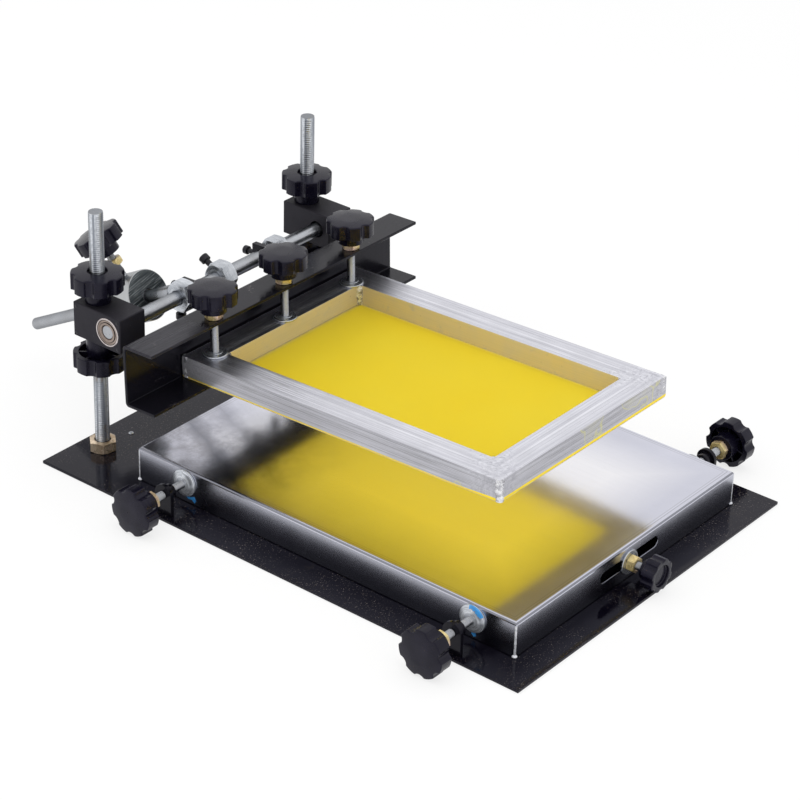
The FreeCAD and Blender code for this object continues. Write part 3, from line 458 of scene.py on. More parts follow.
@paint((0.008, 0.008, 0.009), 0.0, 0.3, coat(0.19))
def satin_black(p):
    """Paint of the beam and brackets, streaked along the beam, scuffed and rubbed at its left end."""
    streak = p.noise(60, 5, 0.6, p.place.scaled(0.12, 3.0, 1.2))
    fine = p.noise(1.0, 5, 0.7, p.place.scaled(30.0, 700.0, 700.0))
    scuff = p.noise(24, 8, 0.72, distortion=1.2).fit(0.61, 0.68) * p.noise(700, 3, 0.6).fit(0.50, 0.66)
    tone = p.mix(streak, (0.0020, 0.0018, 0.0035), (0.0085, 0.0080, 0.0120))
    ragged = p.place.axis(0) + p.noise(160, 3, 0.7) * 0.02
    rubbed = ragged.fit(-0.1035, -0.1015, 1.0, 0.0) * p.place.axis(2).fit(0.150, 0.152)
    tone = p.mix(rubbed * fine.fit(0.42, 0.62, 0.25, 1.0), tone, (0.034, 0.033, 0.040))
    p.color(p.mix(scuff, tone, (0.17, 0.15, 0.15)))
    p.rough(streak.fit(0.3, 0.7, 0.10, 0.24) + rubbed * 0.12)
    p.bump(p.noise(260, 5, 0.65), 0.00012)


@paint((0.014, 0.014, 0.016), 0.0, 0.55, coat(0.2))
def block_black(p):
    """Black oxide of the bearing blocks."""
    tone = p.mix(p.noise(30, 5, 0.6), (0.011, 0.0105, 0.014), (0.023, 0.0215, 0.026))
    p.color(p.mix(p.noise(500, 2, 0.6).fit(0.70, 0.76, 0.0, 0.4), tone, (0.09, 0.085, 0.085)))
    p.rough(p.noise(40, 5, 0.6).fit(0.3, 0.7, 0.42, 0.6))
    p.bump(p.noise(900, 3, 0.6), 0.00005)


@paint((0.007, 0.007, 0.008), 0.0, 0.32, coat(0.25))
def knob_black(p):
    """Moulded plastic of the star knobs."""
    p.color(p.mix(p.noise(60, 4, 0.6).fit(0.4, 0.75), (0.0035, 0.0030, 0.0080), (0.0095, 0.0085, 0.0170)))
    p.rough(p.noise(90, 4, 0.6).fit(0.35, 0.7, 0.16, 0.32))
    p.bump(p.noise(1500, 3, 0.6), 0.00003)


@paint((0.012, 0.012, 0.013), 0.0, 0.35, coat(0.3))
def bolt_black(p):
    """Black oxide of the socket screws."""
    p.color(p.mix(p.noise(200, 4, 0.6), (0.006, 0.006, 0.007), (0.020, 0.020, 0.022)))
    p.rough(p.noise(150, 3, 0.5).fit(0.3, 0.7, 0.25, 0.45))
    p.bump(p.noise(900, 3, 0.6), 0.00003)


@paint((0.45, 0.46, 0.49), 1.0, 0.3)
def zinc(p):
    """Bright zinc of shaft, screws and collars, with painted shade where it turns away from the viewer."""
    tone = p.noise(140, 5, 0.65)
    light = p.mix(tone, (0.32, 0.335, 0.365), (0.68, 0.70, 0.74))
    p.shaded(p.mix(p.noise(35, 5, 0.6).fit(0.4, 0.7), light, (0.40, 0.405, 0.42)), 0.30, 0.82, (0.08, 0.09, 0.11))
    p.rough(tone.fit(0.3, 0.7, 0.22, 0.42))
    p.bump(p.noise(500, 4, 0.65), 0.00005)


@paint((0.45, 0.47, 0.51), 0.9, 0.34)
def dull_zinc(p):
    """Washers and collars, duller than the bars, with painted shade where they turn away from the viewer."""
    rings = p.noise(1.0, 3, 0.6, p.flow.scaled(900.0, 30.0))
    light = p.mix(rings.fit(0.35, 0.65), (0.32, 0.34, 0.38), (0.82, 0.85, 0.90))
    light = p.mix(p.noise(120, 5, 0.65).fit(0.45, 0.7, 0.0, 0.6), light, (0.46, 0.49, 0.53))
    p.shaded(light, 0.5, 0.9, (0.10, 0.11, 0.13))
    p.rough(rings.fit(0.3, 0.7, 0.18, 0.36))
    p.bump(p.noise(500, 4, 0.65), 0.00005)


@paint((0.45, 0.47, 0.51), 0.55, 0.34)
def flange_zinc(p):
    """Flanges of the side screws, paler than the collars."""
    dull_zinc(p)


@paint((0.45, 0.46, 0.49), 1.0, 0.32)
def rod_zinc(p):
    """Plating of the height rods, streaked along them, with darker mottling painted as the thread's shade, and
    painted shade where it turns away.
    """
    streak = p.noise(1.0, 3, 0.6, p.flow.scaled(1.5, 230.0))
    mottle = p.noise(420, 4, 0.7)
    light = p.mix(streak.fit(0.42, 0.60), (0.25, 0.27, 0.31), (0.80, 0.83, 0.88))
    # painted shade of the thread: random darker mottling
    light = p.mix(mottle.fit(0.45, 0.68, 0.0, 0.6), light, (0.26, 0.28, 0.31))
    rust = p.noise(55, 4, 0.6).fit(0.56, 0.66, 0.0, 0.5) * streak.fit(0.5, 0.4)
    # rust patches, then painted shade where the rod turns away from the viewer
    p.shaded(p.mix(rust, light, (0.22, 0.15, 0.07)), 0.45, 0.92, (0.10, 0.115, 0.14))
    p.rough(mottle.fit(0.3, 0.7, 0.25, 0.45))
    p.bump(mottle, 0.00012)


@paint((0.60, 0.48, 0.27), 0.45, 0.3)
def yellow_zinc(p):
    """Yellow passivated lock nuts, partly rubbed back to pinkish grey, with painted shade where they turn away from
    the viewer.
    """
    tone = p.noise(90, 5, 0.65).fit(0.35, 0.7)
    blush = p.noise(50, 3, 0.5).fit(0.5, 0.62, 0.0, 0.8)
    light = p.mix(blush, p.mix(tone, (0.56, 0.42, 0.16), (0.90, 0.76, 0.40)), (0.70, 0.50, 0.46))
    p.shaded(light, 0.4, 0.9, (0.16, 0.11, 0.07))
    p.rough(tone.fit(0.0, 1.0, 0.2, 0.4))
    p.bump(p.noise(500, 3, 0.6), 0.00004)


@paint((0.50, 0.34, 0.25), 0.7, 0.35)
def foot_bronze(p):
    """Tarnished brownish plating of the nuts at the rods' feet, with painted shade where they turn away from the
    viewer.
    """
    tone = p.noise(110, 5, 0.65).fit(0.35, 0.7)
    p.shaded(p.mix(tone, (0.44, 0.32, 0.20), (0.92, 0.76, 0.58)), 0.45, 0.9, (0.17, 0.12, 0.08))
    p.rough(tone.fit(0.0, 1.0, 0.18, 0.38))
    p.bump(p.noise(400, 4, 0.6), 0.00006)


@paint((0.62, 0.54, 0.53), 1.0, 0.28)
def bearing_steel(p):
    """Ground outer race."""
    p.color(p.mix(p.noise(150, 4, 0.6), (0.36, 0.31, 0.30), (0.78, 0.72, 0.71)))
    p.rough(p.noise(300, 3, 0.6).fit(0.3, 0.7, 0.2, 0.4))
    p.bump(p.noise(800, 3, 0.6), 0.00003)


@paint((0.28, 0.20, 0.16), 0.8, 0.38)
def bearing_shield(p):
    """Shield and inner race, brown with old grease."""
    rings = p.noise(1.0, 3, 0.6, p.flow.scaled(900.0, 2.0))
    tone = p.mix(p.noise(150, 4, 0.6), (0.17, 0.13, 0.11), (0.52, 0.43, 0.38))
    p.color(p.mix(rings.fit(0.4, 0.7, 0.0, 0.4), tone, (0.12, 0.08, 0.06)))
    p.rough(p.noise(300, 3, 0.6).fit(0.3, 0.7, 0.3, 0.5))
    p.bump(p.noise(800, 3, 0.6), 0.00003)


@paint((0.5, 0.5, 0.5), 1.0, 0.32)
def weight_steel(p):
    """Turned side of the counterweight, with painted shade where it turns away from the viewer."""
    lines = p.noise(90, 4, 0.6, p.flow.scaled(30.0, 0.4))
    p.shaded(p.mix(lines, (0.34, 0.35, 0.36), (0.64, 0.65, 0.66)), 0.45, 0.9, (0.17, 0.18, 0.19))
    p.rough(lines.fit(0.3, 0.7, 0.24, 0.4))
    p.bump(lines, 0.00004)


@paint((0.10, 0.115, 0.12), 1.0, 0.45)
def sawn_face(p):
    """Sawn end of the counterweight, with slanting saw marks."""
    tilted = p.place.scaled(1.0, 1.0, 1.0, (0.0, -1.40, 0.0))
    saw = p.noise(1.0, 5, 0.65, tilted.scaled(1100.0, 40.0, 40.0))
    broad = p.noise(1.0, 3, 0.6, tilted.scaled(300.0, 24.0, 24.0))
    tone = p.mix(broad.fit(0.38, 0.64), (0.040, 0.048, 0.052), (0.125, 0.138, 0.145))
    tone = p.mix(saw.fit(0.52, 0.64, 0.0, 0.9), tone, (0.42, 0.45, 0.46))
    p.color(p.mix(p.noise(70, 4, 0.6).fit(0.45, 0.75, 0.0, 0.5), tone, (0.045, 0.055, 0.06)))
    p.rough(saw.fit(0.3, 0.7, 0.32, 0.55))
    p.bump(saw, 0.0002)


@paint((0.5, 0.5, 0.51), 1.0, 0.36)
def frame_aluminium(p):
    """Drawn bars: lines along each bar, ground swirls near the welds, glue at the foot of the outer faces."""
    along, across = p.flow.axis(0), p.flow.axis(1)
    lines = p.noise(1.0, 5, 0.75, p.flow.scaled(5.0, 1100.0))
    broad = p.noise(1.0, 3, 0.5, p.flow.scaled(3.0, 210.0))
    swirl = p.noise(110, 6, 0.75, distortion=3.0)
    grain = p.out("ShaderNodeMix", 0, {0: along.fit(0.016, 0.040, 1.0, 0.0), 2: lines, 3: swirl},
                  data_type="FLOAT")
    tone = p.mix(broad.fit(0.3, 0.7), (0.62, 0.62, 0.68), (0.86, 0.86, 0.92))
    tone = p.mix(grain.fit(0.46, 0.62, 0.0, 0.7), tone, (0.44, 0.44, 0.49))
    tone = p.mix(grain.fit(0.40, 0.30, 0.0, 0.5), tone, (0.90, 0.90, 0.95))
    tone = p.mix(p.noise(32, 5, 0.6).fit(0.40, 0.66, 0.0, 0.3), tone, (0.56, 0.56, 0.60))
    side = across.fit(0.0210, 0.0214, 1.0, 0.0)
    tone = p.mix(side * lines.fit(0.48, 0.66, 0.22, 0.62), tone, (0.02, 0.015, 0.015))
    contour = p.noise(26, 2, 0.4)
    edge = abs(contour - 0.57).fit(0.0, 0.014, 1.0, 0.0)
    smear = p.math("MAXIMUM", edge, contour.fit(0.57, 0.66, 0.0, 0.3)) * p.noise(6, 2, 0.4).fit(0.48, 0.56)
    glue = smear * side * 0.75
    tone = p.mix(glue, tone, (0.62, 0.60, 0.26))
    coated = p.place.axis(1).fit(-0.15, -0.18, 0.0018, 0.0034)
    lip = (coated - across).fit(0.0, 0.0006) * across.fit(-0.0008, -0.0002)
    p.color(p.mix(lip, tone, (1.0, 0.76, 0.01)))
    dull = p.math("MAXIMUM", p.math("MAXIMUM", lip, glue), side * 0.45)
    p.feed(1.0 - dull, p.shader.inputs["Metallic"])
    p.rough(grain.fit(0.3, 0.7, 0.26, 0.46))
    p.bump(grain, 0.00008)


@paint((0.66, 0.56, 0.30), 0.2, 0.42)
def frame_inner(p):
    """Inner walls of the screen frame, tinted by the stencil coating."""
    lines = p.noise(1.0, 4, 0.7, p.flow.scaled(5.0, 700.0))
    cloud = p.noise(30, 5, 0.6).fit(0.35, 0.7)
    tone = p.mix(cloud, (0.68, 0.56, 0.29), (0.62, 0.54, 0.36))
    tone = p.mix(p.noise(240, 3, 0.6).fit(0.70, 0.76, 0.0, 0.85), tone, (0.20, 0.15, 0.06))
    tone = p.mix(p.noise(70, 6, 0.7).fit(0.60, 0.68, 0.0, 0.6), tone, (0.46, 0.45, 0.42))
    p.color(p.mix(lines.fit(0.4, 0.7, 0.0, 0.35), tone, (0.50, 0.45, 0.28)))
    p.rough(cloud.fit(0.0, 1.0, 0.34, 0.5))
    p.bump(lines, 0.00006)


@paint((0.70, 0.70, 0.71), 0.6, 0.24)
def weld_aluminium(p):
    """Bright lumpy weld metal."""
    tone = p.noise(200, 5, 0.7)
    p.color(p.mix(tone.fit(0.38, 0.62), (0.30, 0.30, 0.33), (0.95, 0.95, 0.97)))
    p.rough(tone.fit(0.3, 0.7, 0.14, 0.4))
    p.bump(p.noise(230, 4, 0.6), 0.0009)


@paint((1.0, 0.84, 0.03), 0.0, 0.6, {"Specular IOR Level": 0.2, "Sheen Weight": 0.1, "Sheen Roughness": 0.5})
def mesh_yellow(p):
    """Coated fabric: more than half of the light that falls on it shines through."""
    weave = [p.out("ShaderNodeTexWave", "Fac", {"Vector": p.place.scaled(*scale, 0), "Scale": 700.0},
                   bands_direction=word) for word, scale in (("X", (1, 0)), ("Y", (0, 1)))]
    weave = weave[0] * weave[1]
    tone = p.mix(p.noise(8, 4, 0.5).fit(0.35, 0.7), (0.99, 0.82, 0.030), (1.0, 0.87, 0.055))
    tone = p.mix(p.noise(90, 2, 0.5).fit(0.76, 0.80, 0.0, 0.4), tone, (0.95, 0.66, 0.02))
    tone = p.mix(weave * 0.08, tone, (0.90, 0.70, 0.02))
    # pale band where the cloth is glued to the bars: partly the glue's colour, partly painted light on a band that
    # gets little light
    glue_and_painted_light = p.math("MAXIMUM", *(abs(p.flow.axis(k) - 0.0115).fit(*reach)
                                for k, reach in enumerate(((0.0094, 0.0098), (0.0085, 0.0089)))))
    p.color(p.mix(glue_and_painted_light * 0.85, tone, (0.95, 0.89, 0.70)))
    p.bump(weave, 0.00002)
    p.joined(0.62, "ShaderNodeBsdfTranslucent", (1.0, 0.90, 0.28))


@paint((0.74, 0.735, 0.76), 1.0, 0.2)
def platen_steel(p):
    """Brushed stainless sheet, painted lighter in its middle as painted light falling through the mesh, smudged
    toward its left rear corner.
    """
    cloud = p.noise(7, 6, 0.62, distortion=0.6).fit(0.35, 0.72)
    x, y, z = (p.place.axis(k) for k in range(3))
    near = p.math("MINIMUM", PLATEN_WIDTH / 2 * MM - abs(x - PLATEN_X * MM),
                  PLATEN_DEPTH / 2 * MM - abs(y - PLATEN_Y * MM))
    tone = p.mix(cloud, (0.58, 0.585, 0.665), (0.67, 0.675, 0.765))
    # painted light: the middle of the top is lighter, for the light that falls through the mesh
    tone = p.mix(near.fit(0.02, 0.08), tone, (0.86, 0.85, 0.88))
    top = z.fit(0.0374, 0.0379)
    fine = p.noise(1.0, 4, 0.7, p.place.scaled(500.0, 9.0, 500.0)) * top
    tone = p.mix(fine.fit(0.45, 0.7, 0.0, 0.06), tone, (0.50, 0.50, 0.53))
    ragged = (p.noise(26, 4, 0.6) - 0.5) * 0.024
    for slope, start, half, depth in SMUDGES:
        band = abs(x - y * slope - start + ragged).fit(half, 0.0) * y.fit(0.03, 0.07)
        tone = p.mix(band * depth, tone, (0.13, 0.14, 0.18))
    haze = x.fit(-0.03, -0.10) * y.fit(0.02, 0.10) * p.noise(38, 7, 0.7).fit(0.40, 0.62, 0.35, 0.8)
    tone = p.mix(haze, tone, (0.24, 0.235, 0.26))
    marks = p.noise(45, 8, 0.75, distortion=2.0).fit(0.68, 0.74, 0.0, 0.16)
    tone = p.mix(marks, tone, (0.40, 0.39, 0.41))
    for away, depth in ((0.0046, 0.55), (0.0072, 0.35)):
        score = abs(near - away).fit(0.0002, 0.0006, depth, 0.0)
        tone = p.mix(score * top, tone, (0.30, 0.30, 0.32))
    # painted reflection: the walls are darker toward the bottom and lighter toward the top
    wall = z.fit(0.0350, 0.0354, 1.0, 0.0)
    tone = p.mix(wall, tone, p.mix(z.fit(0.012, 0.033), (0.20, 0.205, 0.250), (0.50, 0.51, 0.58)))
    # painted reflection: a darker line on the bend at the top of the walls
    fold = z.fit(0.0358, 0.0361) * z.fit(0.0374, 0.0376, 1.0, 0.0)
    tone = p.mix(fold * 0.9, tone, (0.22, 0.225, 0.26))
    # painted shade: the lowest millimetre of the walls, where they meet the base plate, is near black
    p.color(p.mix(z.fit(0.0036, 0.0042, 1.0, 0.0), tone, (0.010, 0.010, 0.012)))
    p.rough(cloud.fit(0.0, 1.0, 0.12, 0.20) + marks + wall * 0.1)
    p.bump(fine, 0.000004)


@paint((0.70, 0.71, 0.76), 0.4, 0.3)
def seam_steel(p):
    """Welded and dressed seams at the platen's corners."""
    tone = p.noise(300, 4, 0.6)
    p.color(p.mix(tone, (0.52, 0.53, 0.58), (0.90, 0.91, 0.95)))
    p.rough(tone.fit(0.3, 0.7, 0.2, 0.4))
    p.bump(tone, 0.0001)


@paint((0.02, 0.22, 0.60), 0.0, 0.3)
def blue_film(p):
    """Left over bits of the sheet's blue protective film."""
    p.color(p.mix(p.noise(300, 4, 0.6), (0.01, 0.12, 0.42), (0.08, 0.42, 0.85)))
    p.bump(p.noise(500, 4, 0.6), 0.0002)


# Pieces


def skin(name, shape, matrix=None):
    """Mesh in metres of a shape in millimetres, its faces turned outward."""
    mesh = bpy.data.meshes.new(name)
    points = np.array(shape.points, float)
    if matrix is not None:
        turned = np.array(matrix)
        points = points @ turned[:3, :3].T + turned[:3, 3]
    mesh.from_pydata((points * MM).tolist(), [], shape.faces)
    layer = mesh.uv_layers.new(name="flow")
    for polygon, flow, paint in zip(mesh.polygons, shape.flow, shape.paint):
        polygon.material_index = paint
        for loop, spot in zip(polygon.loop_indices, flow):
            layer.data[loop].uv = (spot[0] * MM, spot[1] * MM)
    work = bmesh.new()
    work.from_mesh(mesh)
    bmesh.ops.remove_doubles(work, verts=work.verts, dist=1e-6)
    bmesh.ops.dissolve_degenerate(work, dist=1e-7, edges=work.edges)
    bmesh.ops.recalc_face_normals(work, faces=work.faces)
    work.to_mesh(mesh)
    work.free()
    return mesh


def added(name, data):
    """New object in the scene."""
    thing = bpy.data.objects.new(name, data)
    bpy.context.scene.collection.objects.link(thing)
    return thing


def carved(thing, shape, matrix):
    """Mesh of an object less a shape."""
    cutter = added("cutter", skin("cutter", shape, matrix))
    carve = thing.modifiers.new("carve", "BOOLEAN")
    carve.operation = "DIFFERENCE"
    carve.solver = "EXACT"
    carve.object = cutter
    mesh = bpy.data.meshes.new_from_object(thing.evaluated_get(bpy.context.evaluated_depsgraph_get()))
    thing.modifiers.clear()
    bpy.data.objects.remove(cutter)
    return mesh


def piece(name, shape, body, slot, replaces=None, matrix=None, paints=None, bevel=0.0, segments=3, corner=50.0,
          sharp=34.0, hole=None):
    """Makes a piece of the object from a shape in millimetres, painted as its slot unless paints are named."""
    thing = added(name, skin(name, shape, matrix))
    for paint_name in paints or (slot,):
        thing.data.materials.append(PAINTS[paint_name])
    if hole:
        thing.data = carved(thing, hole, matrix)
    thing.data.shade_smooth()
    thing.data.set_sharp_from_angle(angle=math.radians(sharp))
    if bevel:
        rounding = thing.modifiers.new("edges", "BEVEL")
        rounding.width = bevel * MM
        rounding.segments = segments
        rounding.limit_method = "ANGLE"
        rounding.angle_limit = math.radians(corner)
    normal = thing.modifiers.new("normals", "WEIGHTED_NORMAL")
    normal.keep_sharp = True
    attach(thing, body)
    if replaces:
        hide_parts(replaces)
    return thing


def seen_directly(tree):
    """1 for rays from the camera, reflections and glass, and otherwise 0."""
    path = tree.nodes.new("ShaderNodeLightPath")
    seen = path.outputs["Is Camera Ray"]
    for kind in ("Is Glossy Ray", "Is Transmission Ray"):
        more = tree.nodes.new("ShaderNodeMath")
        more.operation = "MAXIMUM"
        tree.links.new(seen, more.inputs[0])
        tree.links.new(path.outputs[kind], more.inputs[1])
        seen = more.outputs[0]
    return seen


def camera_and_light():
    """Camera at the photograph's viewing angle, plain soft light, pale floor."""
    scene = bpy.context.scene
    scene.view_settings.view_transform = "Standard"
    data = bpy.data.cameras.new("camera")
    data.sensor_width = 36.0
    data.lens = 122.32
    camera = added("camera", data)
    camera.location = (-1.7090, -1.3436, 1.3144)
    camera.rotation_euler = [math.radians(a) for a in (60.58817, -1.47823, -50.73354)]
    scene.camera = camera
    # each lamp's place, what it aims at, width, height and watts, in metres
    lamps = (("top", (-0.2, 0.2, 2.2), (0, 0, 0.05), 3.0, 3.0, 21.0),
             ("left", (-2.6, 1.2, 1.5), (0, 0, 0.1), 2.6, 2.2, 13.0),
             ("front", (-0.2, -2.9, 1.5), (0, 0, 0.1), 2.6, 2.2, 9.5))
    for name, spot, aim, width, height, power in lamps:
        light = bpy.data.lights.new(name, "AREA")
        light.shape = "RECTANGLE"
        light.size = width
        light.size_y = height
        light.energy = power
        lamp = added(name, light)
        lamp.location = spot
        lamp.visible_glossy = False
        lamp.rotation_euler = (Vector(spot) - Vector(aim)).to_track_quat("Z", "Y").to_euler()
    world = bpy.data.worlds.new("studio")
    scene.world = world
    world.use_nodes = True
    tree = world.node_tree
    back = tree.nodes["Background"]
    level = tree.nodes.new("ShaderNodeMapRange")
    level.inputs["To Min"].default_value = 0.80
    level.inputs["To Max"].default_value = 1.0
    tree.links.new(seen_directly(tree), level.inputs["Value"])
    tree.links.new(level.outputs["Result"], back.inputs["Strength"])
    back.inputs["Color"].default_value = (1, 1, 1, 1)

    half = 30.0
    mesh = bpy.data.meshes.new("floor")
    mesh.from_pydata([(-half, -half, 0), (half, -half, 0), (half, half, 0), (-half, half, 0)], [], [(0, 1, 2, 3)])
    floor = added("floor", mesh)
    floor.location.z = -0.0002
    p = Paint("floor", (0.95, 0.95, 0.95), 0.0, 0.9, {"Specular IOR Level": 0.0})
    p.joined(Value(p, seen_directly(p.tree)) * 0.75, "ShaderNodeEmission", (1, 1, 1))
    mesh.materials.append(p.material)


def base_pieces():
    piece("plate", box(-BASE_X, BASE_X, -BASE_Y, BASE_Y, 0, BASE_TOP), "base", "gloss_black", "base_plate", bevel=0.5)
    nuts = Shape()
    for side, word in SIDES:
        rod = thread(0, ROD_LENGTH, 7.0, 2.0, 1.6, 36, 0.14, 1)
        foot = move(side * ROD_X, ROD_Y, BASE_TOP)
        piece(f"{word}_threaded_rod", rod, "base", "zinc", f"{word}_rod", foot, ("rod_zinc", "zinc"), sharp=60)
        nuts.add(hex_nut(24, 11, 7.5), foot @ turn("Z", 12 * side))
    piece("rod_foot_nuts", nuts, "base", "yellow_zinc", "foot_nuts", paints=("foot_bronze",))

    def tab(level):
        """Outline of an upright with a round head about a screw at a level."""
        return [(TAB_RADIUS, 0), *arc(0, level, TAB_RADIUS, 0, 180, 16), (-TAB_RADIUS, 0)]

    brackets = Shape()
    boss = lathe([(4.2, -1), (6.6, -1), (7, -0.6), (7, 6.4), (6.4, 7), (4.6, 7), (4.2, 6.6), (4.2, -1)])
    for side in (-1, 1):
        upright = extrusion(tab(SIDE_Z - BASE_TOP), 0, BRACKET_SHEET * side)
        for y in SIDE_Y:
            brackets.add(upright, move(side * BRACKET_X, y, BASE_TOP))
            brackets.add(boss, move(side * BRACKET_X, y, SIDE_Z) @ outward(-side))
    piece("side_brackets", brackets, "base", "satin_black", "screw_brackets", bevel=0.4)
    stud = lathe([(0, 0.05), (2.4, 0.05), (2.6, 0.3), (2.2, 0.9), (1.2, 1.3), (0, 1.4)], 24)
    piece("plate_rivet", stud, "base", "zinc", matrix=move(*RIVET))
    anchor = extrusion(tab(FRONT_Z - BASE_TOP), *FRONT_TAB_Y, "y")
    piece("anchor_tab", anchor, "base", "satin_black", "front_anchor", move(0, 0, BASE_TOP), bevel=0.4)


def carriage_pieces():
    for side, word in SIDES:
        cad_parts[f"{word}_block"].data.materials.clear()
        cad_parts[f"{word}_block"].data.materials.append(PAINTS["block_black"])
        for level, place, hub, spot in (("top", "upper", 13.5, move(z=BLOCK_HALF)),
                                        ("low", "lower", 17.0, move(z=-BLOCK_HALF) @ FACING["-z"])):
            knob = star_knob(hub, 16.0, 25.0, stud=ROD_BORE, eye=9.5)
            piece(f"{word}_{level}_star", knob, "carriage", "knob_black", f"{word}_{place}_knob",
                  move(side * ROD_X, ROD_Y, HINGE.z) @ spot)
        inner, outer = SHAFT_BORE, 14.0
        bearing = lathe([(inner, 0), (outer, 0), (outer, 8.0), (outer - 0.4, 8.4), (outer - 1.3, 8.4),
                         (outer - 1.5, 8.2)], 64)
        # gap, shield, gap and inner race, each with its own paint; the gaps are painted black as painted shade in
        # their grooves
        for paint_index, ring_profile in (
                (2, ((outer - 1.5, 8.2), (outer - 1.5, 6.8), (outer - 2.1, 6.8), (outer - 2.1, 7.9))),
                (1, ((outer - 2.1, 7.9), (outer - 3.0, 7.9), (outer - 3.2, 7.5), (inner + 3.0, 7.5))),
                (2, ((inner + 3.0, 7.5), (inner + 3.0, 6.8), (inner + 2.4, 6.8), (inner + 2.4, 8.2))),
                (1, ((inner + 2.4, 8.2), (inner + 2.2, 8.4), (inner + 0.5, 8.4), (inner, 7.8), (inner, 0)))):
            bearing.add(lathe(ring_profile, 64, paint_index))
        piece(f"{word}_ball_bearing", bearing, "carriage", "bearing_steel", f"{word}_bearing",
              move(side * (BLOCK_FACE - 8), HINGE.y, HINGE.z) @ outward(side),
              ("bearing_steel", "bearing_shield", "bolt_black"))
        heads = Shape()
        for y in (HINGE.y - 13.0, HINGE.y + 39.5):
            for z in (-13.6, 13.6):
                heads.add(lathe([(0, 0.25), (1.3, 0.3), (1.7, 0.1), (1.9, -0.2), (0, -0.2)], 20),
                          move(side * BLOCK_FACE, y, HINGE.z + z) @ outward(side))
        piece(f"{word}_cover_screws", heads, "carriage", "satin_black", paints=("bolt_black",))


def arm_pieces():
    half, radius = BLOCK_FACE - 0.6, SHAFT_RADIUS
    bar = [(0, -half), (radius - 0.8, -half), (radius, -half + 0.8), (radius, half - 0.8), (radius - 0.8, half),
           (0, half)]
    piece("shaft", lathe(bar), "screen_arm", "zinc", "hinge_shaft", ARM @ FACING["x"])

    inner_back, inner_bottom, inner_top = BEAM_BACK - BEAM_SHEET, BEAM_BOTTOM + BEAM_SHEET, BEAM_TOP - BEAM_SHEET
    outline = [(BEAM_FRONT, BEAM_TOP), *arc(BEAM_BACK - 4, BEAM_TOP - 4, 4, 90, 0, 6),
               *arc(BEAM_BACK - 4, BEAM_BOTTOM + 4, 4, 0, -90, 6), (BEAM_FRONT, BEAM_BOTTOM),
               (BEAM_FRONT, inner_bottom), *arc(inner_back - 1, inner_bottom + 1, 1, -90, 0, 3),
               *arc(inner_back - 1, inner_top - 1, 1, 0, 90, 3), (BEAM_FRONT, inner_top)]
    beam = extrusion(outline, -BEAM_HALF, BEAM_HALF)
    lug = [(BEAM_BACK - 0.5, -11), (11.5, -11), (11.5, 11), (BEAM_BACK, 11), (BEAM_BACK - 1, 9)]
    for x in LUG_X:
        beam.add(extrusion(lug, x - 3, x + 3))
    piece("beam", beam, "screen_arm", "satin_black", "clamp_beam", ARM, bevel=0.5)

    collars = Shape()
    for x, flats in ((MIDDLE_COLLAR_X, 27), (RIGHT_COLLAR_X, 24)):
        collars.add(hex_nut(flats, 16, SHAFT_BORE), ARM @ move(x - 8) @ FACING["x"] @ turn("Z", 30))
    piece("hex_collars", collars, "screen_arm", "zinc", "shaft_collars", paints=("dull_zinc",))
    piece("weight_hex_collar", hex_nut(27, 16, SHAFT_BORE), "screen_arm", "zinc", "weight_collar",
          ARM @ move(WEIGHT_COLLAR_X - 6) @ turn("X", -ROD_DROP) @ FACING["x"], ("dull_zinc",))
    # X, angle about the shaft, start from its middle, and the screw's sizes
    small, large = (7.5, 8.5, 5, 4), (10, 6, 5)
    screws = Shape()
    for x, angle, start, dia, sizes in (
            (WEIGHT_COLLAR_X, UNDER_TURN, 13.5, 6, (4.5, *large)), (MIDDLE_COLLAR_X, 30, 13.5, 6, (8, *large)),
            (RIGHT_COLLAR_X, -90, 12, 6, (4.5, *large)), *((x, 0, 11.5, 5, small) for x in LUG_X)):
        screws.add(socket_screw(dia, *sizes), ARM @ move(x) @ turn("X", angle - 90) @ move(0, 0, start))
    piece("socket_screws", screws, "screen_arm", "bolt_black", "collar_screws")
    rod = [(0, 8.5), (5.3, 8.5), (5.79, 8.71), (6, 9.2), (6, 221.8), (5.79, 222.29), (5.3, 222.5), (0, 222.5)]
    piece("counterweight_rod", lathe(rod, 40), "screen_arm", "zinc", "weight_rod", WEIGHT_ROD)

    screws, nuts = Shape(), Shape()
    foot = lathe([(0, 0), (11.6, 0), (12, 0.4), (12, 1.5), (11.5, 2.0), (7.4, 2.3), (7.0, 2.7), (6.8, 3.0), (0, 3.0)],
                 48, 1)
    for number, x in enumerate(CLAMP_X):
        spot = ARM @ move(x, CLAMP_Y)
        screws.add(thread(BAR_TOP + 2.0, BEAM_TOP + 20), spot)
        screws.add(foot, spot @ move(0, 0, BAR_TOP))
        nuts.add(hex_nut(15, 6.5, SCREW_BORE), spot @ move(0, 0, BEAM_TOP) @ turn("Z", 10 + 23 * number))
    piece("clamp_threads", screws, "screen_arm", "zinc", "clamp_screws", paints=("zinc", "dull_zinc"), sharp=60)
    piece("clamp_lock_nuts", nuts, "screen_arm", "yellow_zinc", "clamp_nuts")
    for word, x in zip(("left", "middle", "right"), CLAMP_X):
        piece(f"clamp_star_{word}", star_knob(), "screen_arm", "knob_black", f"clamp_knob_{word}",
              ARM @ move(x, CLAMP_Y, BEAM_TOP + 6.5))


def bar_section():
    """Section of a screen frame bar from its outer face inwards, as (inward, height) pairs."""
    high, width = BAR_TOP - BAR_BOTTOM, BAR_WIDTH
    points = [(0.6, 0), (0, 0.6), (0, high - 1.2), (0.35, high - 0.35), (1.2, high)]
    for groove in (6.0, 9.0, 12.0, 18.0, 21.0, 24.0):
        points += [(groove - 0.45, high), (groove, high - 0.28), (groove + 0.45, high)]
    points += [(width - 1.2, high), (width - 0.35, high - 0.35), (width, high - 1.2), (width, 0.6), (width - 0.6, 0)]
    return points


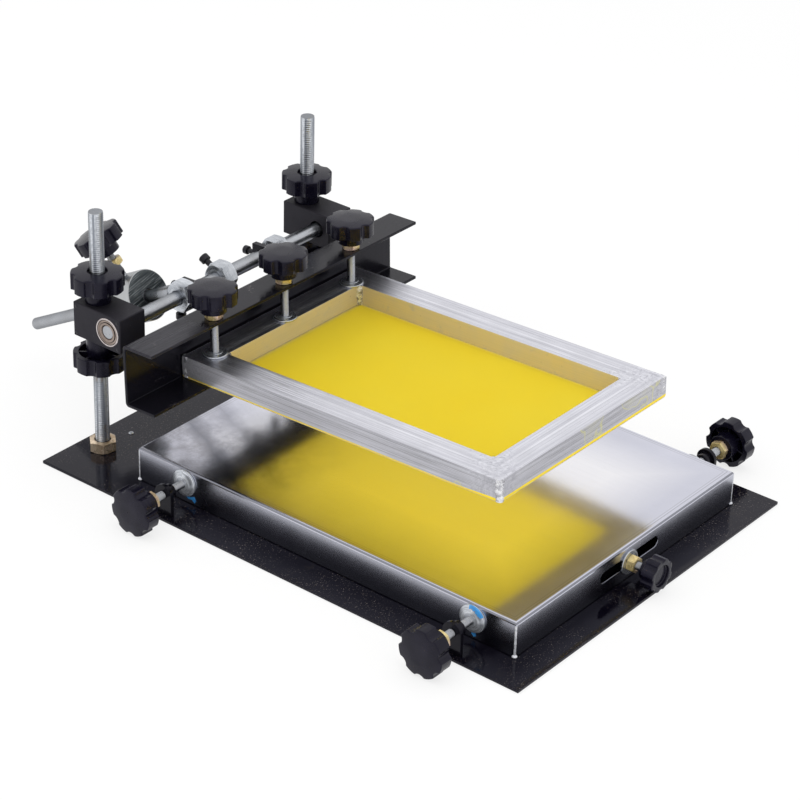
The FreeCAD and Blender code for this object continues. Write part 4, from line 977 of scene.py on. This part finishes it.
def screen_bars(centre):
    """Four mitred bars; flow runs from each bar's ends and round its section."""
    section = bar_section()
    half_width, half_length = SCREEN_WIDTH / 2, SCREEN_LENGTH / 2
    walk = [0.0]
    for (a0, z0), (a1, z1) in zip(section, section[1:]):
        walk.append(walk[-1] + math.hypot(a1 - a0, z1 - z0))
    walk.append(walk[-1] + 28.0)
    inner = (len(section) - 4, len(section) - 3)
    shares = (-1.0, -0.9, -0.7, 0.0, 0.7, 0.9, 1.0)
    for word, half, reach, angle in (("front", half_width, half_length, 180), ("rear", half_width, half_length, 0),
                                     ("left", half_length, half_width, 90), ("right", half_length, half_width, 270)):
        shape = Shape()
        for index in range(len(section)):
            pair = (index, (index + 1) % len(section))
            lines = [[(share * (half - section[i][0]), reach - section[i][0], section[i][1]) for i in pair]
                     for share in shares]

            def flow(row, column, index=index):
                return (half * (1 - abs(shares[row])), walk[index + column])

            shape.rows(lines, 1 if index in inner else 0, closed=False, flow=flow)
        for share in (-1, 1):
            first = len(shape.points)
            shape.points += [(share * (half - a), reach - a, z) for a, z in section]
            shape.faces.append(list(range(first, first + len(section))))
            shape.paint.append(0)
            shape.flow.append([(0.0, walk[i]) for i in range(len(section))])
        piece(f"bar_{word}", shape, "screen_arm", "frame_aluminium", f"frame_{word}_bar", centre @ turn("Z", angle),
              ("frame_aluminium", "frame_inner"))


def screen_pieces():
    half_width, half_length = SCREEN_WIDTH / 2, SCREEN_LENGTH / 2
    centre = ARM @ move(SCREEN_X, SCREEN_REAR - half_length, BAR_BOTTOM)
    screen_bars(centre)

    high = BAR_TOP - BAR_BOTTOM
    welds = Shape()
    rng = np.random.default_rng(7)
    for sx in (-1, 1):
        for sy in (-1, 1):
            # the outer bead is set in by inset, and the front left one stands out most
            inset, swell = (3.9, 4.2) if sy > 0 else (2.6, 3.7) if sx < 0 else (3.2, 3.3)
            rows = []
            for z in np.linspace(0.2, high - 0.1, 9):
                loop = ring(swell + 0.35 * rng.standard_normal(), z, 20)
                loop[:, :2] += rng.normal(0, 0.16, (20, 2)) + (sx * (half_width - inset), sy * (half_length - inset))
                loop[:, :2] += rng.normal(0, 0.28, 2)
                rows.append(loop)
            welds.rows(rows, start_cap=True, end_cap=True)
            bead = 4.3 if sy > 0 else 2.6
            rows = []
            for z in np.linspace(0.3, high - 0.4, 10):
                loop = ring(bead * (0.72 + 0.28 * math.sin(math.pi * z / high)) + 0.2 * rng.standard_normal(), z, 12)
                loop[:, :2] += (sx * (half_width - BAR_WIDTH), sy * (half_length - BAR_WIDTH))
                rows.append(loop)
            welds.rows(rows, start_cap=True, end_cap=True)
    piece("corner_welds", welds, "screen_arm", "frame_aluminium", matrix=centre, paints=("weld_aluminium",))

    levels = (MESH_BOTTOM - BAR_BOTTOM + 0.02, -0.02)
    xs, ys = (np.linspace(-half + 0.3, half - 0.3, 24) for half in (half_width, half_length))
    cloth = Shape()
    for z in levels:
        cloth.rows([[(x, y, z) for x in xs] for y in ys], closed=False)
    edge = [(x, ys[0]) for x in xs] + [(xs[-1], y) for y in ys[1:]] + [(x, ys[-1]) for x in xs[::-1][1:]]
    edge += [(xs[0], y) for y in ys[::-1][1:-1]]
    cloth.rows([[(x, y, z) for x, y in edge] for z in levels])
    mesh = piece("stretched_mesh", cloth, "screen_arm", "mesh_yellow", "screen_mesh", centre)


def weight_pieces():
    start, end = WEIGHT_START, WEIGHT_START + WEIGHT_LENGTH
    count = 64

    def bore(r, z):
        return ring(r, z, count) + (0, WEIGHT_SHIFT, 0)

    def across(r, z, share=1.0):
        """Circle whose middle goes from the bore's to the weight's as share goes from 0 to 1."""
        return ring(r, z, count) + (0, WEIGHT_SHIFT * (1 - share), 0)

    body = Shape()
    face = [across(r, start, share) for r, share in ((24.2, 1.0), (20, 0.8), (15, 0.5), (10, 0.15))]
    body.rows([*face, bore(7.8, start), bore(7.5, start + 0.3)], paint=1)
    body.rows([bore(7.5, start + 0.3), bore(7.3, start + 2.7), bore(6.2, start + 3), bore(6.2, end - 0.6),
               bore(6.8, end), across(24.2, end), across(25, end - 0.8), across(25, start + 0.9),
               across(24.8, start + 0.4), across(24.2, start)])
    piece("sawn_counterweight", body, "weight_slider", "weight_steel", "counterweight",
          WEIGHT_ROD @ move(0, -WEIGHT_SHIFT), ("weight_steel", "sawn_face"))
    # the lock screw stands square to the rod, turned toward the left end
    out = WEIGHT_ROD @ move(0, 0, start + 16.5) @ turn("X", 90) @ turn("Y", -LOCK_TURN)
    piece("lock_thread", thread(6.15, 69.5), "weight_slider", "zinc", "lock_screw", out, sharp=60)
    nut = hex_nut(15, 7, SCREW_BORE)
    piece("lock_hex_nut", nut, "weight_slider", "yellow_zinc", "lock_nut", out @ move(0, 0, 40))
    piece("lock_star", star_knob(), "weight_slider", "knob_black", "lock_knob", out @ move(0, 0, 53.5))


def platen_pieces():
    sheet, bend, high = PLATEN_SHEET, PLATEN_BEND, PLATEN_HEIGHT
    half_x, half_y = PLATEN_WIDTH / 2, PLATEN_DEPTH / 2

    def loop(inset, z):
        x, y = half_x - inset, half_y - inset
        return [(-x, -y, z), (x, -y, z), (x, y, z), (-x, y, z)]

    def wall(inset, radius, first, count):
        """Loops up a wall and round the bend at its top."""
        bend_spots = [(inset + radius - radius * math.cos(a), high - bend + radius * math.sin(a))
                      for a in np.radians(np.linspace(first, 90, count))]
        return [loop(i, z) for i, z in [(inset, 0.0), (inset, high - bend), *bend_spots]]

    shape = Shape()
    shape.rows(wall(0.0, bend, 15, 6), end_cap=True)
    shape.rows(wall(sheet, bend - sheet, 30, 3), end_cap=True)
    shape.rows([loop(0.0, 0.0), loop(sheet, 0.0)])
    place = move(PLATEN_X, PLATEN_Y, BASE_TOP)
    level = SLOT_Z - BASE_TOP
    outline = arc(SLOT_RUN, level, SLOT_HALF, -90, 90, 10) + arc(-SLOT_RUN, level, SLOT_HALF, 90, 270, 10)
    slot = extrusion(outline, -half_y - 4, -half_y + 4, "y")
    piece("platen_cover", shape, "platen_body", "platen_steel", "platen", place, bevel=0.5, segments=2, corner=60.0,
          hole=slot)

    seams = Shape()
    blob = lathe([(0, 0), (2.0, 0.1), (2.5, 0.9), (1.9, 2.0), (0.9, 2.7), (0, 2.8)], 16)
    rng = np.random.default_rng(3)
    for sx in (-1, 1):
        for sy in (-1, 1):
            rows = []
            for z in np.linspace(0.4, high - bend - 0.2, 22):
                row = ring(1.05 + 0.05 * math.sin(z * 2.3) + 0.03 * rng.standard_normal(), z, 14)
                row[:, :2] += (sx * (half_x - 0.75), sy * (half_y - 0.75))
                rows.append(row)
            seams.rows(rows, start_cap=True, end_cap=True)
            seams.add(blob, move(sx * (half_x - 0.9), sy * (half_y - 0.9), 0.1))
    piece("platen_seams", seams, "platen_body", "platen_steel", matrix=place, paints=("seam_steel",))


def film_scraps(wall):
    """Torn blue film on the left wall, and on the face of its front flange."""
    scraps = Shape()
    for outline in (((-203, 10.4), (-207.5, 10.2), (-208, 6.6), (-205.5, 5.4), (-203.4, 7.6)),
                    ((129.5, 10.6), (123.5, 10.4), (118.5, 12.5), (116.5, 8.4), (118, 5.6), (121.5, 8.4),
                     (126, 7.4))):
        scraps.add(extrusion(outline, wall - 0.35, wall - 0.05))
    rng = np.random.default_rng(5)
    rows = []
    for angle in np.radians(np.linspace(-62, 12, 18)):
        inner = 9.6 + rng.uniform(0, 1.6)
        rise = 3.9 - (inner - 9.6) * 0.35
        strip = [(13.62, 1.2), (13.2, 2.45), (11.7, 3.1), (inner, rise), (inner, rise - 0.4), (11.6, 2.9),
                 (13.0, 2.3), (13.52, 1.2)]
        rows.append([(r * math.cos(angle), r * math.sin(angle), z) for r, z in strip])
    scraps.add(Shape().rows(rows, start_cap=True, end_cap=True), move(wall, SIDE_Y[0], SIDE_Z) @ outward(-1))
    piece("film_scraps", scraps, "side_register", "knob_black", paints=("blue_film",))


def side_pieces():
    screws, nuts = Shape(), Shape()
    flange = lathe([(0, 0), (13.1, 0), (13.5, 0.4), (13.5, 1.6), (13.0, 2.3), (11.5, 2.9), (8.0, 4.2), (6.5, 5.0),
                    (0, 5.0)], 56, 1)
    for side, word in SIDES:
        for y, end in zip(SIDE_Y, ("front", "rear")):
            spot = move(PLATEN_X + side * PLATEN_WIDTH / 2, y, SIDE_Z) @ outward(side)
            screws.add(flange, spot)
            screws.add(thread(4.0, 63.9), spot)
            nuts.add(hex_nut(16, 6.5, SCREW_BORE), spot @ move(0, 0, 41.5) @ turn("Z", 15))
            piece(f"{word}_{end}_star", star_knob(), "side_register", "knob_black", f"{word}_{end}_side_knob",
                  spot @ move(0, 0, 48) @ turn("Z", 0 if side > 0 else 180))
    film_scraps(PLATEN_X - PLATEN_WIDTH / 2)
    piece("side_threads", screws, "side_register", "zinc", "side_screws", paints=("zinc", "flange_zinc"), sharp=60)
    piece("side_lock_nuts", nuts, "side_register", "yellow_zinc", "side_nuts")


def front_pieces():
    spot = move(0, PLATEN_Y - PLATEN_DEPTH / 2, FRONT_Z) @ FACING["-y"]
    piece("front_thread", thread(-34.0, 22.9), "front_register", "zinc", "front_screw", spot, sharp=60)
    bore = SCREW_BORE
    washer = [(bore, 0.05), (11.6, 0.05), (12, 0.4), (12, 1.6), (11.6, 2.0), (4.5, 2.0), (bore, 1.7), (bore, 0.05)]
    piece("front_plain_washer", lathe(washer), "front_register", "zinc", "front_washer", spot, ("dull_zinc",))
    piece("front_hex_nut", hex_nut(14, 8, bore), "front_register", "zinc", "front_nut",
          spot @ move(0, 0, 2) @ turn("Z", 20), ("yellow_zinc",))
    knob = star_knob(6.0, 13.0, 16.0, 9.0, 4.2, lobes=8, depth=1.8, notch=5.0, tip=1.0, crown=0.0, dish=10.5)
    piece("front_small_star", knob, "front_register", "knob_black", "front_knob", spot @ move(0, 0, 17))


camera_and_light()
base_pieces()
carriage_pieces()
arm_pieces()
screen_pieces()
weight_pieces()
platen_pieces()
side_pieces()
front_pieces()
